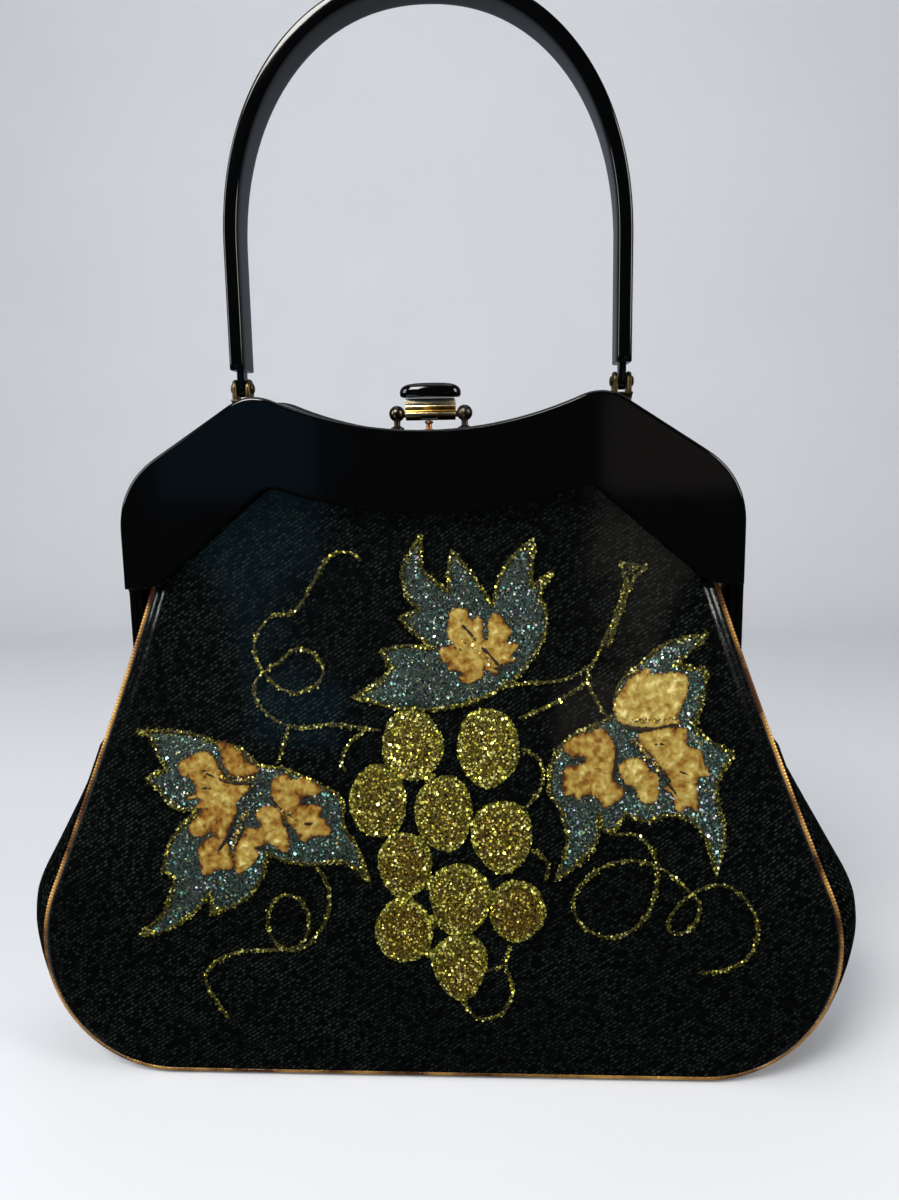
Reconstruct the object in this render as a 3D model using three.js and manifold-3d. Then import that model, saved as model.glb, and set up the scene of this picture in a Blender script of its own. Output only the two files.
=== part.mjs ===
// Evening handbag: twill panels under clear vinyl, gold piping, a black acrylic frame and an arched handle.
// Millimetres, +Z up, front towards -Y, origin on the floor below the middle of the bag.
import * as THREE from 'three';
import { mergeVertices } from 'three/addons/utils/BufferGeometryUtils.js';
import { TessellateModifier } from 'three/addons/modifiers/TessellateModifier.js';
import Module from 'manifold-3d';

const wasm = await Module();
wasm.setup();

// Walls and clearances
const GAP = 0.35;
const CLOTH = 2;
const VINYL = 0.5;
const PIPING_R = 1.2;

// Panel edge in front view: a curve from the frame plate down to a round bottom corner
const EDGE_TUCK = new THREE.Vector2(99.7, 199.5);
const EDGE_TOP = new THREE.Vector2(102.3, 186);
const EDGE_BEND = new THREE.Vector2(127.1, 114.3);
const CORNER = new THREE.Vector2(99.7, 51.9);
const CORNER_R = 48.8;
const CORNER_END = THREE.MathUtils.degToRad(22);
const PANEL_BOTTOM = CORNER.y - CORNER_R;

// Half depth of the bag at the panel edges, and how far the panels belly out
const HALF_DEPTH_TOP = 14.2;
const HALF_DEPTH_BOTTOM = 36.5;
const SLANT_END_Z = 186;
const SLANT_EASE = 36;
const BELLY = 8;
const BELLY_TOP_Z = 210;
const BELLY_SQUARE = 2.5;
const BELLY_EASE = 1.5;
const VINYL_LIFT = 2.6;
const VINYL_SIDE_SHARE = 0.1;
const VINYL_BOTTOM_RISE = 15;

// Acrylic frame in front view: a dip in the middle, a peak each side, sloping shoulders and straight sides
const FRAME_HALF_WIDTH = 112.2;
const FRAME_FRONT = 22;
const PLATE = 3.2;
const PLATE_EDGE = 1.3;
const FRAME_WALL = 3.5;
const FRAME_STEP = 0.6;
const WALL_BITE = 0.6;
const DIP_Z = 241.4;
const DIP_R = 139;
const SHOULDER = new THREE.Vector2(91, 237.5);
const SHOULDER_SLOPE = THREE.MathUtils.degToRad(33);
const SHOULDER_ROUND = 17;
const OUTER_ROUND = 9;
const INNER_ROUND = 6;
const PLATE_END_Z = 185.5;
const PLATE_LOW_Z = 212;
const PLATE_LOW_R = 166;
const PLATE_NOTCH = new THREE.Vector2(57.3, 222.6);
const PLATE_HEEL_X = 100.9;
const PARTING = 0.3;
const CUT_PAST = 1;

// Side arms of the frame and their hinge
const ARM = { inner: 109.4, outer: 114.4, front: 12, bottomZ: 154, topZ: 190 };
const HINGE = { lugR: 5.5, shaftR: 1.5, headR: 3, head: 0.9 };

// Handle and its fittings, carried by the back half of the frame
const HANDLE = {
  x: 71.4, y: 5, endZ: 264.8, springZ: 307.5, rise: 88.2, thick: 6, wide: 16, square: 0.5, archSquare: 0.93,
};
const PIN = { z: 258.4, shaftR: 1.15, headR: 1.9, head: 0.7 };
const TANG = { thick: 2.6, r: 3.1, bite: 2 };
const EAR = { thick: 1.8, r: 3.5 };
const FOOT = { wide: 8.4, deep: 8.4, topZ: 254.4, lowZ: 244.4, earZ: 248.4 };

// Lift clasp: two ball posts with a rod, a lever on the rod, and a stud on the front half
const CLASP = { y: 5, rodZ: 247.6, rodR: 1.1 };
const BALL = { x: 12.8, z: 248, r: 3, postR: 1.2, footR: 2.6, footRise: 0.8, postRise: 1.5 };
const LEVER = { half: 9.4, sleeveR: 2.2, topZ: 253.5, front: 1.8, bulge: 1.6, bulgeZ: 251.5, back: 2.2 };
const TOE = { half: 3, reach: 11, lowZ: 245.7, thick: 1.2 };
const CAP = { half: 11.5, deep: 5.2, lowZ: 253.9, topZ: 259.3, square: 0.7 };
const STUD = { y: -5, r: 1.6, neckR: 1, topZ: 245.2, footRise: 1, headRise: 1.4 };

// Ornament under the vinyl: heights above the twill
const GROUND = { lift: 0.4, thick: 0.5 };
const VELVET = { lift: 1.2, thick: 0.9 };
const GRAPE = { lift: 0.3, thick: 1.7 };
const STRAND_R = 0.75;

const FINISH = {
  twill: { color: 0x101413, roughness: 0.8, metalness: 0 },
  vinyl: { color: 0xdfe6ea, roughness: 0.08, metalness: 0, transparent: true, opacity: 0.25 },
  goldPiping: { color: 0xb9854a, roughness: 0.3, metalness: 1 },
  acrylic: { color: 0x07070a, roughness: 0.12, metalness: 0 },
  brass: { color: 0x7a6a45, roughness: 0.4, metalness: 1 },
  bronze: { color: 0x3a342c, roughness: 0.35, metalness: 1 },
  gilt: { color: 0xc79a3c, roughness: 0.25, metalness: 1 },
  glitterGround: { color: 0x5d7c86, roughness: 0.4, metalness: 0.6 },
  goldGlitter: { color: 0xb7a243, roughness: 0.4, metalness: 0.9 },
  velvet: { color: 0xd9b27a, roughness: 0.9, metalness: 0 },
};

const bag = new THREE.Group();

function addPart(name, geometry, finish) {
  const mesh = new THREE.Mesh(geometry, new THREE.MeshStandardMaterial(finish));
  mesh.name = name;
  bag.add(mesh);
  return mesh;
}

// One closed body from a geometry: shared vertices welded, triangles with no area dropped
function weld(geometry) {
  const bare = new THREE.BufferGeometry();
  bare.setAttribute('position', geometry.attributes.position.clone());
  bare.setIndex(geometry.index ? geometry.index.clone() : null);
  const welded = mergeVertices(bare, 1e-4);
  const index = welded.index.array;
  const kept = [];
  for (let i = 0; i < index.length; i += 3) {
    const [a, b, c] = [index[i], index[i + 1], index[i + 2]];
    if (a !== b && b !== c && c !== a) kept.push(a, b, c);
  }
  welded.setIndex(kept);
  return welded;
}

function toSolid(geometry) {
  const body = weld(geometry);
  return new wasm.Manifold(new wasm.Mesh({
    numProp: 3,
    vertProperties: new Float32Array(body.attributes.position.array),
    triVerts: new Uint32Array(body.index.array),
  }));
}

function toGeometry(solid) {
  const out = solid.getMesh();
  const geometry = new THREE.BufferGeometry();
  geometry.setAttribute('position', new THREE.BufferAttribute(new Float32Array(out.vertProperties), 3));
  geometry.setIndex(Array.from(out.triVerts));
  return geometry;
}

function union(geometries) {
  return geometries.map(toSolid).reduce((whole, piece) => whole.add(piece));
}

// Moves every vertex of a plain geometry by a mapping, then welds it
function bend(geometry, map) {
  const position = geometry.attributes.position;
  const point = new THREE.Vector3();
  for (let i = 0; i < position.count; i++) {
    map(point.fromBufferAttribute(position, i));
    position.setXYZ(i, point.x, point.y, point.z);
  }
  return weld(geometry);
}

// A shape drawn in X and Z, extruded from the depth yBack towards the front
function extrudeForward(shape, yBack, thick, edge = 0) {
  const geometry = new THREE.ExtrudeGeometry(shape, {
    depth: thick - 2 * edge,
    curveSegments: 4,
    bevelEnabled: edge > 0,
    bevelThickness: edge,
    bevelSize: edge,
    bevelOffset: -edge,
    bevelSegments: 1,
  });
  return geometry.translate(0, 0, edge).rotateX(Math.PI / 2).translate(0, yBack, 0);
}

// A shape drawn in Y and Z, extruded along X
function extrudeAcross(shape, xStart, xEnd) {
  const geometry = new THREE.ExtrudeGeometry(shape, {
    depth: xEnd - xStart, curveSegments: 5, bevelEnabled: false,
  });
  const yzx = new THREE.Matrix4().makeBasis(
    new THREE.Vector3(0, 1, 0), new THREE.Vector3(0, 0, 1), new THREE.Vector3(1, 0, 0));
  return geometry.applyMatrix4(yzx).translate(xStart, 0, 0);
}

function box(xLow, xHigh, yLow, yHigh, zLow, zHigh) {
  const geometry = new THREE.BoxGeometry(xHigh - xLow, yHigh - yLow, zHigh - zLow);
  return geometry.translate((xLow + xHigh) / 2, (yLow + yHigh) / 2, (zLow + zHigh) / 2);
}

const ROD_SIDES = 10;

function rodAcross(radius, xStart, xEnd, y, z) {
  const geometry = new THREE.CylinderGeometry(radius, radius, xEnd - xStart, ROD_SIDES);
  return geometry.rotateZ(Math.PI / 2).translate((xStart + xEnd) / 2, y, z);
}

// A pin along X with a flat head at each end
const PIN_SIDES = 8;

function headedPin(size, xStart, xEnd, y, z) {
  const profile = [
    [0, 0], [size.headR, 0], [size.headR, size.head], [size.shaftR, size.head],
    [size.shaftR, xEnd - xStart - size.head], [size.headR, xEnd - xStart - size.head],
    [size.headR, xEnd - xStart], [0, xEnd - xStart],
  ].map(([r, along]) => new THREE.Vector2(r, along));
  const geometry = new THREE.LatheGeometry(profile, PIN_SIDES);
  return weld(geometry.rotateZ(-Math.PI / 2).translate(xStart, y, z));
}

// Panel form
const edge = new THREE.Path();
edge.moveTo(0, PANEL_BOTTOM);
edge.lineTo(CORNER.x, PANEL_BOTTOM);
edge.absarc(CORNER.x, CORNER.y, CORNER_R, -Math.PI / 2, CORNER_END, false);
edge.quadraticCurveTo(EDGE_BEND.x, EDGE_BEND.y, EDGE_TOP.x, EDGE_TOP.y);
edge.lineTo(EDGE_TUCK.x, EDGE_TUCK.y);
const FLAT_SHARE = CORNER.x / edge.getLength();
const EDGE_SAMPLES = 160;
const sideAt = (share) => edge.getPointAt(FLAT_SHARE + (1 - FLAT_SHARE) * share);
const edgeSamples = Array.from({ length: EDGE_SAMPLES + 1 }, (_, i) => sideAt(i / EDGE_SAMPLES));

function halfWidth(z) {
  const next = edgeSamples.findIndex((p) => p.y >= z);
  if (next < 0) return EDGE_TUCK.x;
  if (next === 0) return edgeSamples[0].x;
  const [low, high] = [edgeSamples[next - 1], edgeSamples[next]];
  return low.x + (high.x - low.x) * (z - low.y) / (high.y - low.y);
}

// The sides slant in towards the frame and ease into the vertical there
function edgeDepth(z) {
  const slant = (HALF_DEPTH_BOTTOM - HALF_DEPTH_TOP) / SLANT_END_Z;
  const below = SLANT_END_Z - z;
  if (below > SLANT_EASE) return HALF_DEPTH_TOP + slant * below;
  if (below < -SLANT_EASE) return HALF_DEPTH_TOP;
  return HALF_DEPTH_TOP + slant * (below + SLANT_EASE) ** 2 / (4 * SLANT_EASE);
}

// Distance of a panel's outer face from the middle plane
function panelDepth(x, z) {
  const across = Math.min(1, Math.abs(x) / halfWidth(z));
  const rise = Math.sin(Math.PI * THREE.MathUtils.clamp(z / BELLY_TOP_Z, 0, 1));
  return edgeDepth(z) + BELLY * (1 - across ** BELLY_SQUARE) * rise ** BELLY_EASE;
}

// The vinyl lies close at the piping and stands off the ornament
function vinylGap(x, z) {
  const fromSide = (1 - Math.abs(x) / halfWidth(z)) / VINYL_SIDE_SHARE;
  const fromBottom = (z - PANEL_BOTTOM) / VINYL_BOTTOM_RISE;
  return GAP + (VINYL_LIFT - GAP) * THREE.MathUtils.clamp(Math.min(fromSide, fromBottom), 0, 1);
}

// Height added to the top of a panel so that it reaches behind the frame plate
const TOP_RISE = [
  { across: 0, rise: 24 },
  { across: 0.57, rise: 33 },
  { across: 0.9, rise: 8 },
  { across: 1, rise: 0 },
];

function topRise(across) {
  const next = Math.max(1, TOP_RISE.findIndex((row) => row.across >= across));
  const [low, high] = [TOP_RISE[next - 1], TOP_RISE[next]];
  return THREE.MathUtils.mapLinear(across, low.across, high.across, low.rise, high.rise);
}

const PANEL_COLUMNS = 12;
const PANEL_ROWS = 12;
const RISE_FROM_Z = 100;

// A front wall over the panel outline; outer and inner give the depth of its two faces
function panelWall(outer, inner) {
  const grid = new THREE.BoxGeometry(2, 1, 1, PANEL_COLUMNS, 1, PANEL_ROWS);
  return bend(grid, (p) => {
    const side = sideAt(p.z + 0.5);
    const share = THREE.MathUtils.clamp((side.y - RISE_FROM_Z) / (EDGE_TUCK.y - RISE_FROM_Z), 0, 1);
    const x = p.x * side.x;
    const z = side.y + topRise(Math.abs(p.x)) * share ** 2;
    p.set(x, -(p.y < 0 ? outer(x, z) : inner(x, z)), z);
  });
}

const panelShell = () => panelWall(panelDepth, (x, z) => panelDepth(x, z) - CLOTH);
const vinylInside = (x, z) => panelDepth(x, z) + vinylGap(x, z);
const vinylShell = () => panelWall((x, z) => vinylInside(x, z) + VINYL, vinylInside);

addPart('front_panel', panelShell(), FINISH.twill);
addPart('back_panel', panelShell(), FINISH.twill).rotation.z = Math.PI;
addPart('front_vinyl', vinylShell(), FINISH.vinyl);
addPart('back_vinyl', vinylShell(), FINISH.vinyl).rotation.z = Math.PI;

// Gusset: one strip up both sides and across the bottom. Columns: how far its outer face lies
// outside the panel edge at the seams and at mid depth, for each height
const GUSSET_ROWS = [
  { z: 3.1, seam: 3.1, middle: 3.1 },
  { z: 8, seam: 3.1, middle: 4.6 },
  { z: 30, seam: 3.1, middle: 8.4 },
  { z: 53, seam: 3.1, middle: 9.4 },
  { z: 70, seam: 3.1, middle: 10 },
  { z: 112, seam: 3.1, middle: 3.1 },
  { z: 126, seam: 3.1, middle: 0 },
  { z: 145, seam: -14, middle: -14 },
  { z: 158, seam: -9.6, middle: -9.6 },
  { z: 172, seam: -4.8, middle: -4.8 },
];
const GUSSET_STEPS = 22;
const GUSSET_ACROSS = 4;
const GUSSET_END = 0.905;
const GUSSET_ROUND = 3;
const SEAM_SLACK = 0.2;

function gussetOffset(z, mid) {
  const next = Math.max(1, GUSSET_ROWS.findIndex((row) => row.z >= z));
  const [low, high] = [GUSSET_ROWS[next - 1], GUSSET_ROWS[next]];
  const share = THREE.MathUtils.clamp((z - low.z) / (high.z - low.z), 0, 1);
  const seam = THREE.MathUtils.lerp(low.seam, high.seam, share);
  const middle = THREE.MathUtils.lerp(low.middle, high.middle, share);
  return THREE.MathUtils.lerp(seam, middle, mid);
}

const gussetGrid = new THREE.BoxGeometry(2, 2, 1, 2 * GUSSET_STEPS, GUSSET_ACROSS, 1);
addPart('gusset', bend(gussetGrid, (p) => {
  const along = Math.abs(p.x) * GUSSET_END;
  const at = edge.getPointAt(along);
  const ahead = edge.getTangentAt(along);
  const middle = 1 - Math.abs(p.y) ** GUSSET_ROUND;
  const outward = gussetOffset(at.y, middle) - (p.z > 0 ? CLOTH : 0);
  const halfSpan = edgeDepth(at.y) - CLOTH - SEAM_SLACK - GAP;
  const x = at.x + ahead.y * outward;
  p.set(Math.sign(p.x) * x, p.y * halfSpan, at.y - ahead.x * outward);
}), FINISH.twill);

// Piping: a ridged cord in the seam between panel and gusset
const PIPING_STEPS = 50;
const PIPING_SIDES = 5;
const PIPING_END = 0.99;

function pipingTube() {
  const points = [];
  for (let i = -PIPING_STEPS / 2; i <= PIPING_STEPS / 2; i++) {
    const along = PIPING_END * Math.abs(i) / (PIPING_STEPS / 2);
    const at = edge.getPointAt(along);
    const ahead = edge.getTangentAt(along);
    const outward = PIPING_R + GAP;
    const x = Math.sign(i) * (at.x + ahead.y * outward);
    points.push(new THREE.Vector3(x, -(edgeDepth(at.y) - CLOTH / 2), at.y - ahead.x * outward));
  }
  return tube(points, PIPING_R, PIPING_SIDES, PIPING_STEPS);
}

// A round tube through points, closed at both ends
function tube(points, radius, sides, steps) {
  const section = new THREE.Shape();
  for (let i = 0; i < sides; i++) {
    const angle = 2 * Math.PI * i / sides;
    const corner = [radius * Math.cos(angle), radius * Math.sin(angle)];
    if (i === 0) section.moveTo(...corner);
    else section.lineTo(...corner);
  }
  return weld(new THREE.ExtrudeGeometry(section, {
    steps, bevelEnabled: false, extrudePath: new THREE.CatmullRomCurve3(points),
  }));
}

addPart('front_piping', pipingTube(), FINISH.goldPiping);
addPart('back_piping', pipingTube(), FINISH.goldPiping).rotation.z = Math.PI;

// A corner of an outline rounded by a curve
const ROUND_STEPS = 3;
const SHOULDER_STEPS = 4;
const rounded = (before, corner, after, steps = ROUND_STEPS) =>
  new THREE.QuadraticBezierCurve(before, corner, after).getPoints(steps);
const ARC_STEPS = 5;

// Frame outline. Right half of its upper edge, from the side up to the middle, moved in by inset
function frameTop(inset, endZ) {
  const slope = new THREE.Vector2(-Math.cos(SHOULDER_SLOPE), Math.sin(SHOULDER_SLOPE));
  const normal = new THREE.Vector2(slope.y, -slope.x);
  const reach = normal.dot(SHOULDER) - inset;
  const side = FRAME_HALF_WIDTH - inset;
  const corner = new THREE.Vector2(side, (reach - normal.x * side) / normal.y);
  const dipCentre = new THREE.Vector2(0, DIP_Z + DIP_R);
  const dipRadius = DIP_R + inset;
  const fromCentre = corner.clone().sub(dipCentre);
  const half = fromCentre.dot(slope);
  const toPeak = -half - Math.sqrt(half * half - fromCentre.lengthSq() + dipRadius * dipRadius);
  const peak = corner.clone().addScaledVector(slope, toPeak);
  const onDip = (x) => new THREE.Vector2(x, dipCentre.y - Math.sqrt(dipRadius * dipRadius - x * x));
  const upSlope = (from, by) => from.clone().addScaledVector(slope, by);
  const dipEnd = peak.x - OUTER_ROUND;
  const points = [
    new THREE.Vector2(side, endZ),
    ...rounded(new THREE.Vector2(side, corner.y - SHOULDER_ROUND), corner, upSlope(corner, SHOULDER_ROUND),
      SHOULDER_STEPS),
    ...rounded(upSlope(peak, -OUTER_ROUND), peak, onDip(dipEnd)),
  ];
  for (let i = ARC_STEPS - 1; i >= 0; i--) points.push(onDip(dipEnd * i / ARC_STEPS));
  return points;
}

function mirrored(half) {
  return [...half, ...half.slice(0, -1).reverse().map((p) => new THREE.Vector2(-p.x, p.y))];
}

// Right half of the plate's lower edge, from its end up and in to the middle
function plateLow() {
  const centreZ = PLATE_LOW_Z + PLATE_LOW_R;
  const onArc = (x) => new THREE.Vector2(x, centreZ - Math.sqrt(PLATE_LOW_R * PLATE_LOW_R - x * x));
  const heel = new THREE.Vector2(PLATE_HEEL_X, PLATE_END_Z);
  const rise = PLATE_NOTCH.clone().sub(heel).normalize();
  const upRise = (from, by) => from.clone().addScaledVector(rise, by);
  const arcEnd = PLATE_NOTCH.x - INNER_ROUND;
  const points = [
    ...rounded(new THREE.Vector2(heel.x + INNER_ROUND, heel.y), heel, upRise(heel, INNER_ROUND)),
    ...rounded(upRise(PLATE_NOTCH, -INNER_ROUND), PLATE_NOTCH, onArc(arcEnd)),
  ];
  for (let i = ARC_STEPS - 1; i >= 0; i--) points.push(onArc(arcEnd * i / ARC_STEPS));
  return points;
}

function framePlate() {
  const shape = new THREE.Shape([...mirrored(frameTop(0, PLATE_END_Z)), ...mirrored(plateLow()).reverse()]);
  return extrudeForward(shape, -(FRAME_FRONT - PLATE), PLATE, PLATE_EDGE);
}

function frameWall() {
  const outer = mirrored(frameTop(FRAME_STEP, PLATE_END_Z - CUT_PAST));
  const inner = mirrored(frameTop(FRAME_STEP + FRAME_WALL, PLATE_END_Z - CUT_PAST));
  const shape = new THREE.Shape([...outer, ...inner.reverse()]);
  return extrudeForward(shape, -PARTING, FRAME_FRONT - PLATE + WALL_BITE - PARTING);
}

function disc(radius, y, z) {
  const shape = new THREE.Shape();
  shape.absarc(y, z, radius, 0, 2 * Math.PI, false);
  return shape;
}

// One half of the frame, made as the front one. Its hinge lugs take the outer or the inner layer of the arms
function frameHalf(lugOutside) {
  const middle = (ARM.inner + ARM.outer) / 2;
  const lug = lugOutside ? [middle + GAP, ARM.outer] : [ARM.inner, middle - GAP];
  const room = lugOutside ? [ARM.inner - CUT_PAST, middle] : [middle, ARM.outer + CUT_PAST];
  const span = (side, [low, high]) => (side > 0 ? [low, high] : [-high, -low]);
  let half = union([framePlate(), frameWall()]);
  for (const side of [-1, 1]) {
    const arm = box(...span(side, [ARM.inner, ARM.outer]), -ARM.front, -PARTING, ARM.bottomZ, ARM.topZ);
    const eye = extrudeAcross(disc(HINGE.lugR, 0, ARM.bottomZ), ...span(side, lug));
    const clear = extrudeAcross(disc(HINGE.lugR + GAP, 0, ARM.bottomZ), ...span(side, room));
    const through = span(side, [ARM.inner - CUT_PAST, ARM.outer + CUT_PAST]);
    const bore = rodAcross(HINGE.shaftR + GAP, ...through, 0, ARM.bottomZ);
    half = half.add(toSolid(arm)).subtract(toSolid(clear)).add(toSolid(eye)).subtract(toSolid(bore));
  }
  return toGeometry(half);
}

addPart('front_frame', frameHalf(true), FINISH.acrylic);
addPart('back_frame', frameHalf(false), FINISH.acrylic).rotation.z = Math.PI;

for (const [name, side] of [['left', -1], ['right', 1]]) {
  const ends = [ARM.inner - GAP - HINGE.head, ARM.outer + GAP + HINGE.head];
  const [start, end] = side > 0 ? ends : [-ends[1], -ends[0]];
  addPart(`hinge_pin_${name}`, headedPin(HINGE, start, end, 0, ARM.bottomZ), FINISH.brass);
}

// Handle: a flat strap bent to an arch, with a tang and an eye at each end
const HANDLE_SIDES = 12;
const HANDLE_STEPS = 22;

function handleStrap() {
  const leg = HANDLE.springZ - HANDLE.endZ;
  const arch = Math.PI * (HANDLE.x + HANDLE.rise) / 2;
  const length = 2 * leg + arch;
  const blank = new THREE.CylinderGeometry(1, 1, 1, HANDLE_SIDES, HANDLE_STEPS);
  const squared = (value, square) => Math.sign(value) * Math.abs(value) ** square;
  return bend(blank, (p) => {
    const along = (p.y + 0.5) * length;
    const fromEnd = Math.min(along, length - along);
    const turn = THREE.MathUtils.clamp((along - leg) / arch, 0, 1) * Math.PI;
    const out = squared(p.x, HANDLE.square) * HANDLE.thick / 2;
    const deep = squared(p.z, HANDLE.square) * HANDLE.wide / 2;
    const x = (HANDLE.x + out) * squared(Math.cos(turn), HANDLE.archSquare);
    const rise = (HANDLE.rise + out) * squared(Math.sin(turn), HANDLE.archSquare);
    p.set(x, HANDLE.y - deep, HANDLE.endZ + Math.min(fromEnd, leg) + rise);
  });
}

function tang(x) {
  const shape = new THREE.Shape();
  shape.absarc(HANDLE.y, PIN.z, TANG.r, Math.PI, 2 * Math.PI, false);
  shape.lineTo(HANDLE.y + TANG.r, HANDLE.endZ + TANG.bite);
  shape.lineTo(HANDLE.y - TANG.r, HANDLE.endZ + TANG.bite);
  const bore = rodAcross(PIN.shaftR + GAP, x - TANG.thick, x + TANG.thick, HANDLE.y, PIN.z);
  const plate = extrudeAcross(shape, x - TANG.thick / 2, x + TANG.thick / 2);
  return toSolid(plate).subtract(toSolid(bore));
}

const strap = toSolid(handleStrap()).add(tang(-HANDLE.x)).add(tang(HANDLE.x));
addPart('handle_strap', toGeometry(strap), FINISH.acrylic);

// Handle brackets: a foot shaped to the frame's slope and two ears around the tang
function handleBracket(x) {
  const lobe = new THREE.Shape();
  lobe.absarc(HANDLE.y, PIN.z, EAR.r, 0, Math.PI, false);
  lobe.lineTo(HANDLE.y - EAR.r, FOOT.earZ);
  lobe.lineTo(HANDLE.y + EAR.r, FOOT.earZ);
  const inside = TANG.thick / 2 + GAP;
  const foot = box(x - FOOT.wide / 2, x + FOOT.wide / 2,
    HANDLE.y - FOOT.deep / 2, HANDLE.y + FOOT.deep / 2, FOOT.lowZ, FOOT.topZ);
  const outline = new THREE.Shape(mirrored(frameTop(FRAME_STEP - GAP, PLATE_END_Z)));
  const under = extrudeForward(outline, FRAME_FRONT, 2 * FRAME_FRONT);
  const body = union([
    foot,
    extrudeAcross(lobe, x - inside - EAR.thick, x - inside),
    extrudeAcross(lobe, x + inside, x + inside + EAR.thick),
  ]);
  const bore = rodAcross(PIN.shaftR + GAP, x - FOOT.wide, x + FOOT.wide, HANDLE.y, PIN.z);
  return toGeometry(body.subtract(toSolid(under)).subtract(toSolid(bore)));
}

for (const [name, x] of [['left', -HANDLE.x], ['right', HANDLE.x]]) {
  const reach = TANG.thick / 2 + GAP + EAR.thick + GAP + PIN.head;
  addPart(`handle_bracket_${name}`, handleBracket(x), FINISH.brass);
  addPart(`handle_pin_${name}`, headedPin(PIN, x - reach, x + reach, HANDLE.y, PIN.z), FINISH.brass);
}

// Clasp
const frameTopAt = (x) => DIP_Z - FRAME_STEP + x * x / (2 * DIP_R);

// A turned piece standing on Z, from a profile of radius and height
function turned(profile, sides, x, y) {
  const points = profile.map(([r, z]) => new THREE.Vector2(r, z));
  return weld(new THREE.LatheGeometry(points, sides).rotateX(Math.PI / 2).translate(x, y, 0));
}

const POST_SIDES = 8;
const BALL_RINGS = 5;
const BALL_LOW = -65;

function ballPost(x) {
  const low = frameTopAt(Math.abs(x) + BALL.footR) + GAP;
  const profile = [
    [0, low], [BALL.footR, low], [BALL.footR, low + BALL.footRise], [BALL.postR, low + BALL.postRise],
  ];
  for (let i = 0; i < BALL_RINGS; i++) {
    const angle = THREE.MathUtils.degToRad(THREE.MathUtils.mapLinear(i, 0, BALL_RINGS, BALL_LOW, 90));
    profile.push([BALL.r * Math.cos(angle), BALL.z + BALL.r * Math.sin(angle)]);
  }
  return turned([...profile, [0, BALL.z + BALL.r]], POST_SIDES, x, CLASP.y);
}

const claspBase = union([
  ballPost(-BALL.x),
  ballPost(BALL.x),
  rodAcross(CLASP.rodR, -BALL.x, BALL.x, CLASP.y, CLASP.rodZ),
]);
addPart('clasp_base', toGeometry(claspBase), FINISH.bronze);

function claspLever() {
  const [front, back] = [CLASP.y - LEVER.front, CLASP.y + LEVER.back];
  const body = new THREE.Shape();
  body.moveTo(front, CLASP.rodZ);
  body.lineTo(back, CLASP.rodZ);
  body.lineTo(back, LEVER.topZ);
  body.lineTo(front, LEVER.topZ);
  body.quadraticCurveTo(front - LEVER.bulge, LEVER.bulgeZ, front, CLASP.rodZ);
  const lever = union([
    extrudeAcross(disc(LEVER.sleeveR, CLASP.y, CLASP.rodZ), -LEVER.half, LEVER.half),
    extrudeAcross(body, -LEVER.half, LEVER.half),
    box(-TOE.half, TOE.half, CLASP.y - TOE.reach, CLASP.y, TOE.lowZ, TOE.lowZ + TOE.thick),
  ]);
  const borePast = LEVER.half + CUT_PAST;
  const bore = rodAcross(CLASP.rodR + GAP, -borePast, borePast, CLASP.y, CLASP.rodZ);
  return toGeometry(lever.subtract(toSolid(bore)));
}

addPart('clasp_lever', claspLever(), FINISH.gilt);

// Cap: a low dome on a rounded oblong base
const CAP_PROFILE = [[0, 0], [0.94, 0], [1, 0.18], [0.98, 0.5], [0.84, 0.82], [0.55, 0.97], [0, 1]];
const CAP_SIDES = 20;

function claspCap() {
  return bend(turned(CAP_PROFILE, CAP_SIDES, 0, 0), (p) => {
    const r = Math.hypot(p.x, p.y);
    const squared = (value) => Math.sign(value) * Math.abs(value) ** CAP.square;
    const x = r > 0 ? r * squared(p.x / r) : 0;
    const y = r > 0 ? r * squared(p.y / r) : 0;
    p.set(x * CAP.half, CLASP.y + y * CAP.deep, CAP.lowZ + p.z * (CAP.topZ - CAP.lowZ));
  });
}

addPart('clasp_cap', claspCap(), FINISH.acrylic);

const studFoot = frameTopAt(STUD.r) + GAP;
const studProfile = [
  [0, studFoot], [STUD.r, studFoot], [STUD.neckR, studFoot + STUD.footRise],
  [STUD.neckR, STUD.topZ - STUD.headRise], [STUD.r, STUD.topZ - STUD.headRise / 2],
  [STUD.neckR, STUD.topZ], [0, STUD.topZ],
];
addPart('clasp_stud', turned(studProfile, POST_SIDES, 0, STUD.y), FINISH.bronze);

// Ornament: a grapevine. Flat forms are drawn in X and Z and laid on the front panel
const layOnPanel = (geometry) => bend(geometry, (p) => {
  p.set(p.x, -(panelDepth(p.x, p.y) + p.z), p.y);
});
const LONGEST_EDGE = 20;
const MOST_SPLITS = 8;
const finer = new TessellateModifier(LONGEST_EDGE, MOST_SPLITS);

function flatForm(points, { lift, thick }) {
  const shape = new THREE.Shape(points.map(([x, z]) => new THREE.Vector2(x, z)));
  return new THREE.ExtrudeGeometry(shape, { depth: thick, bevelEnabled: false }).translate(0, 0, lift);
}

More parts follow.
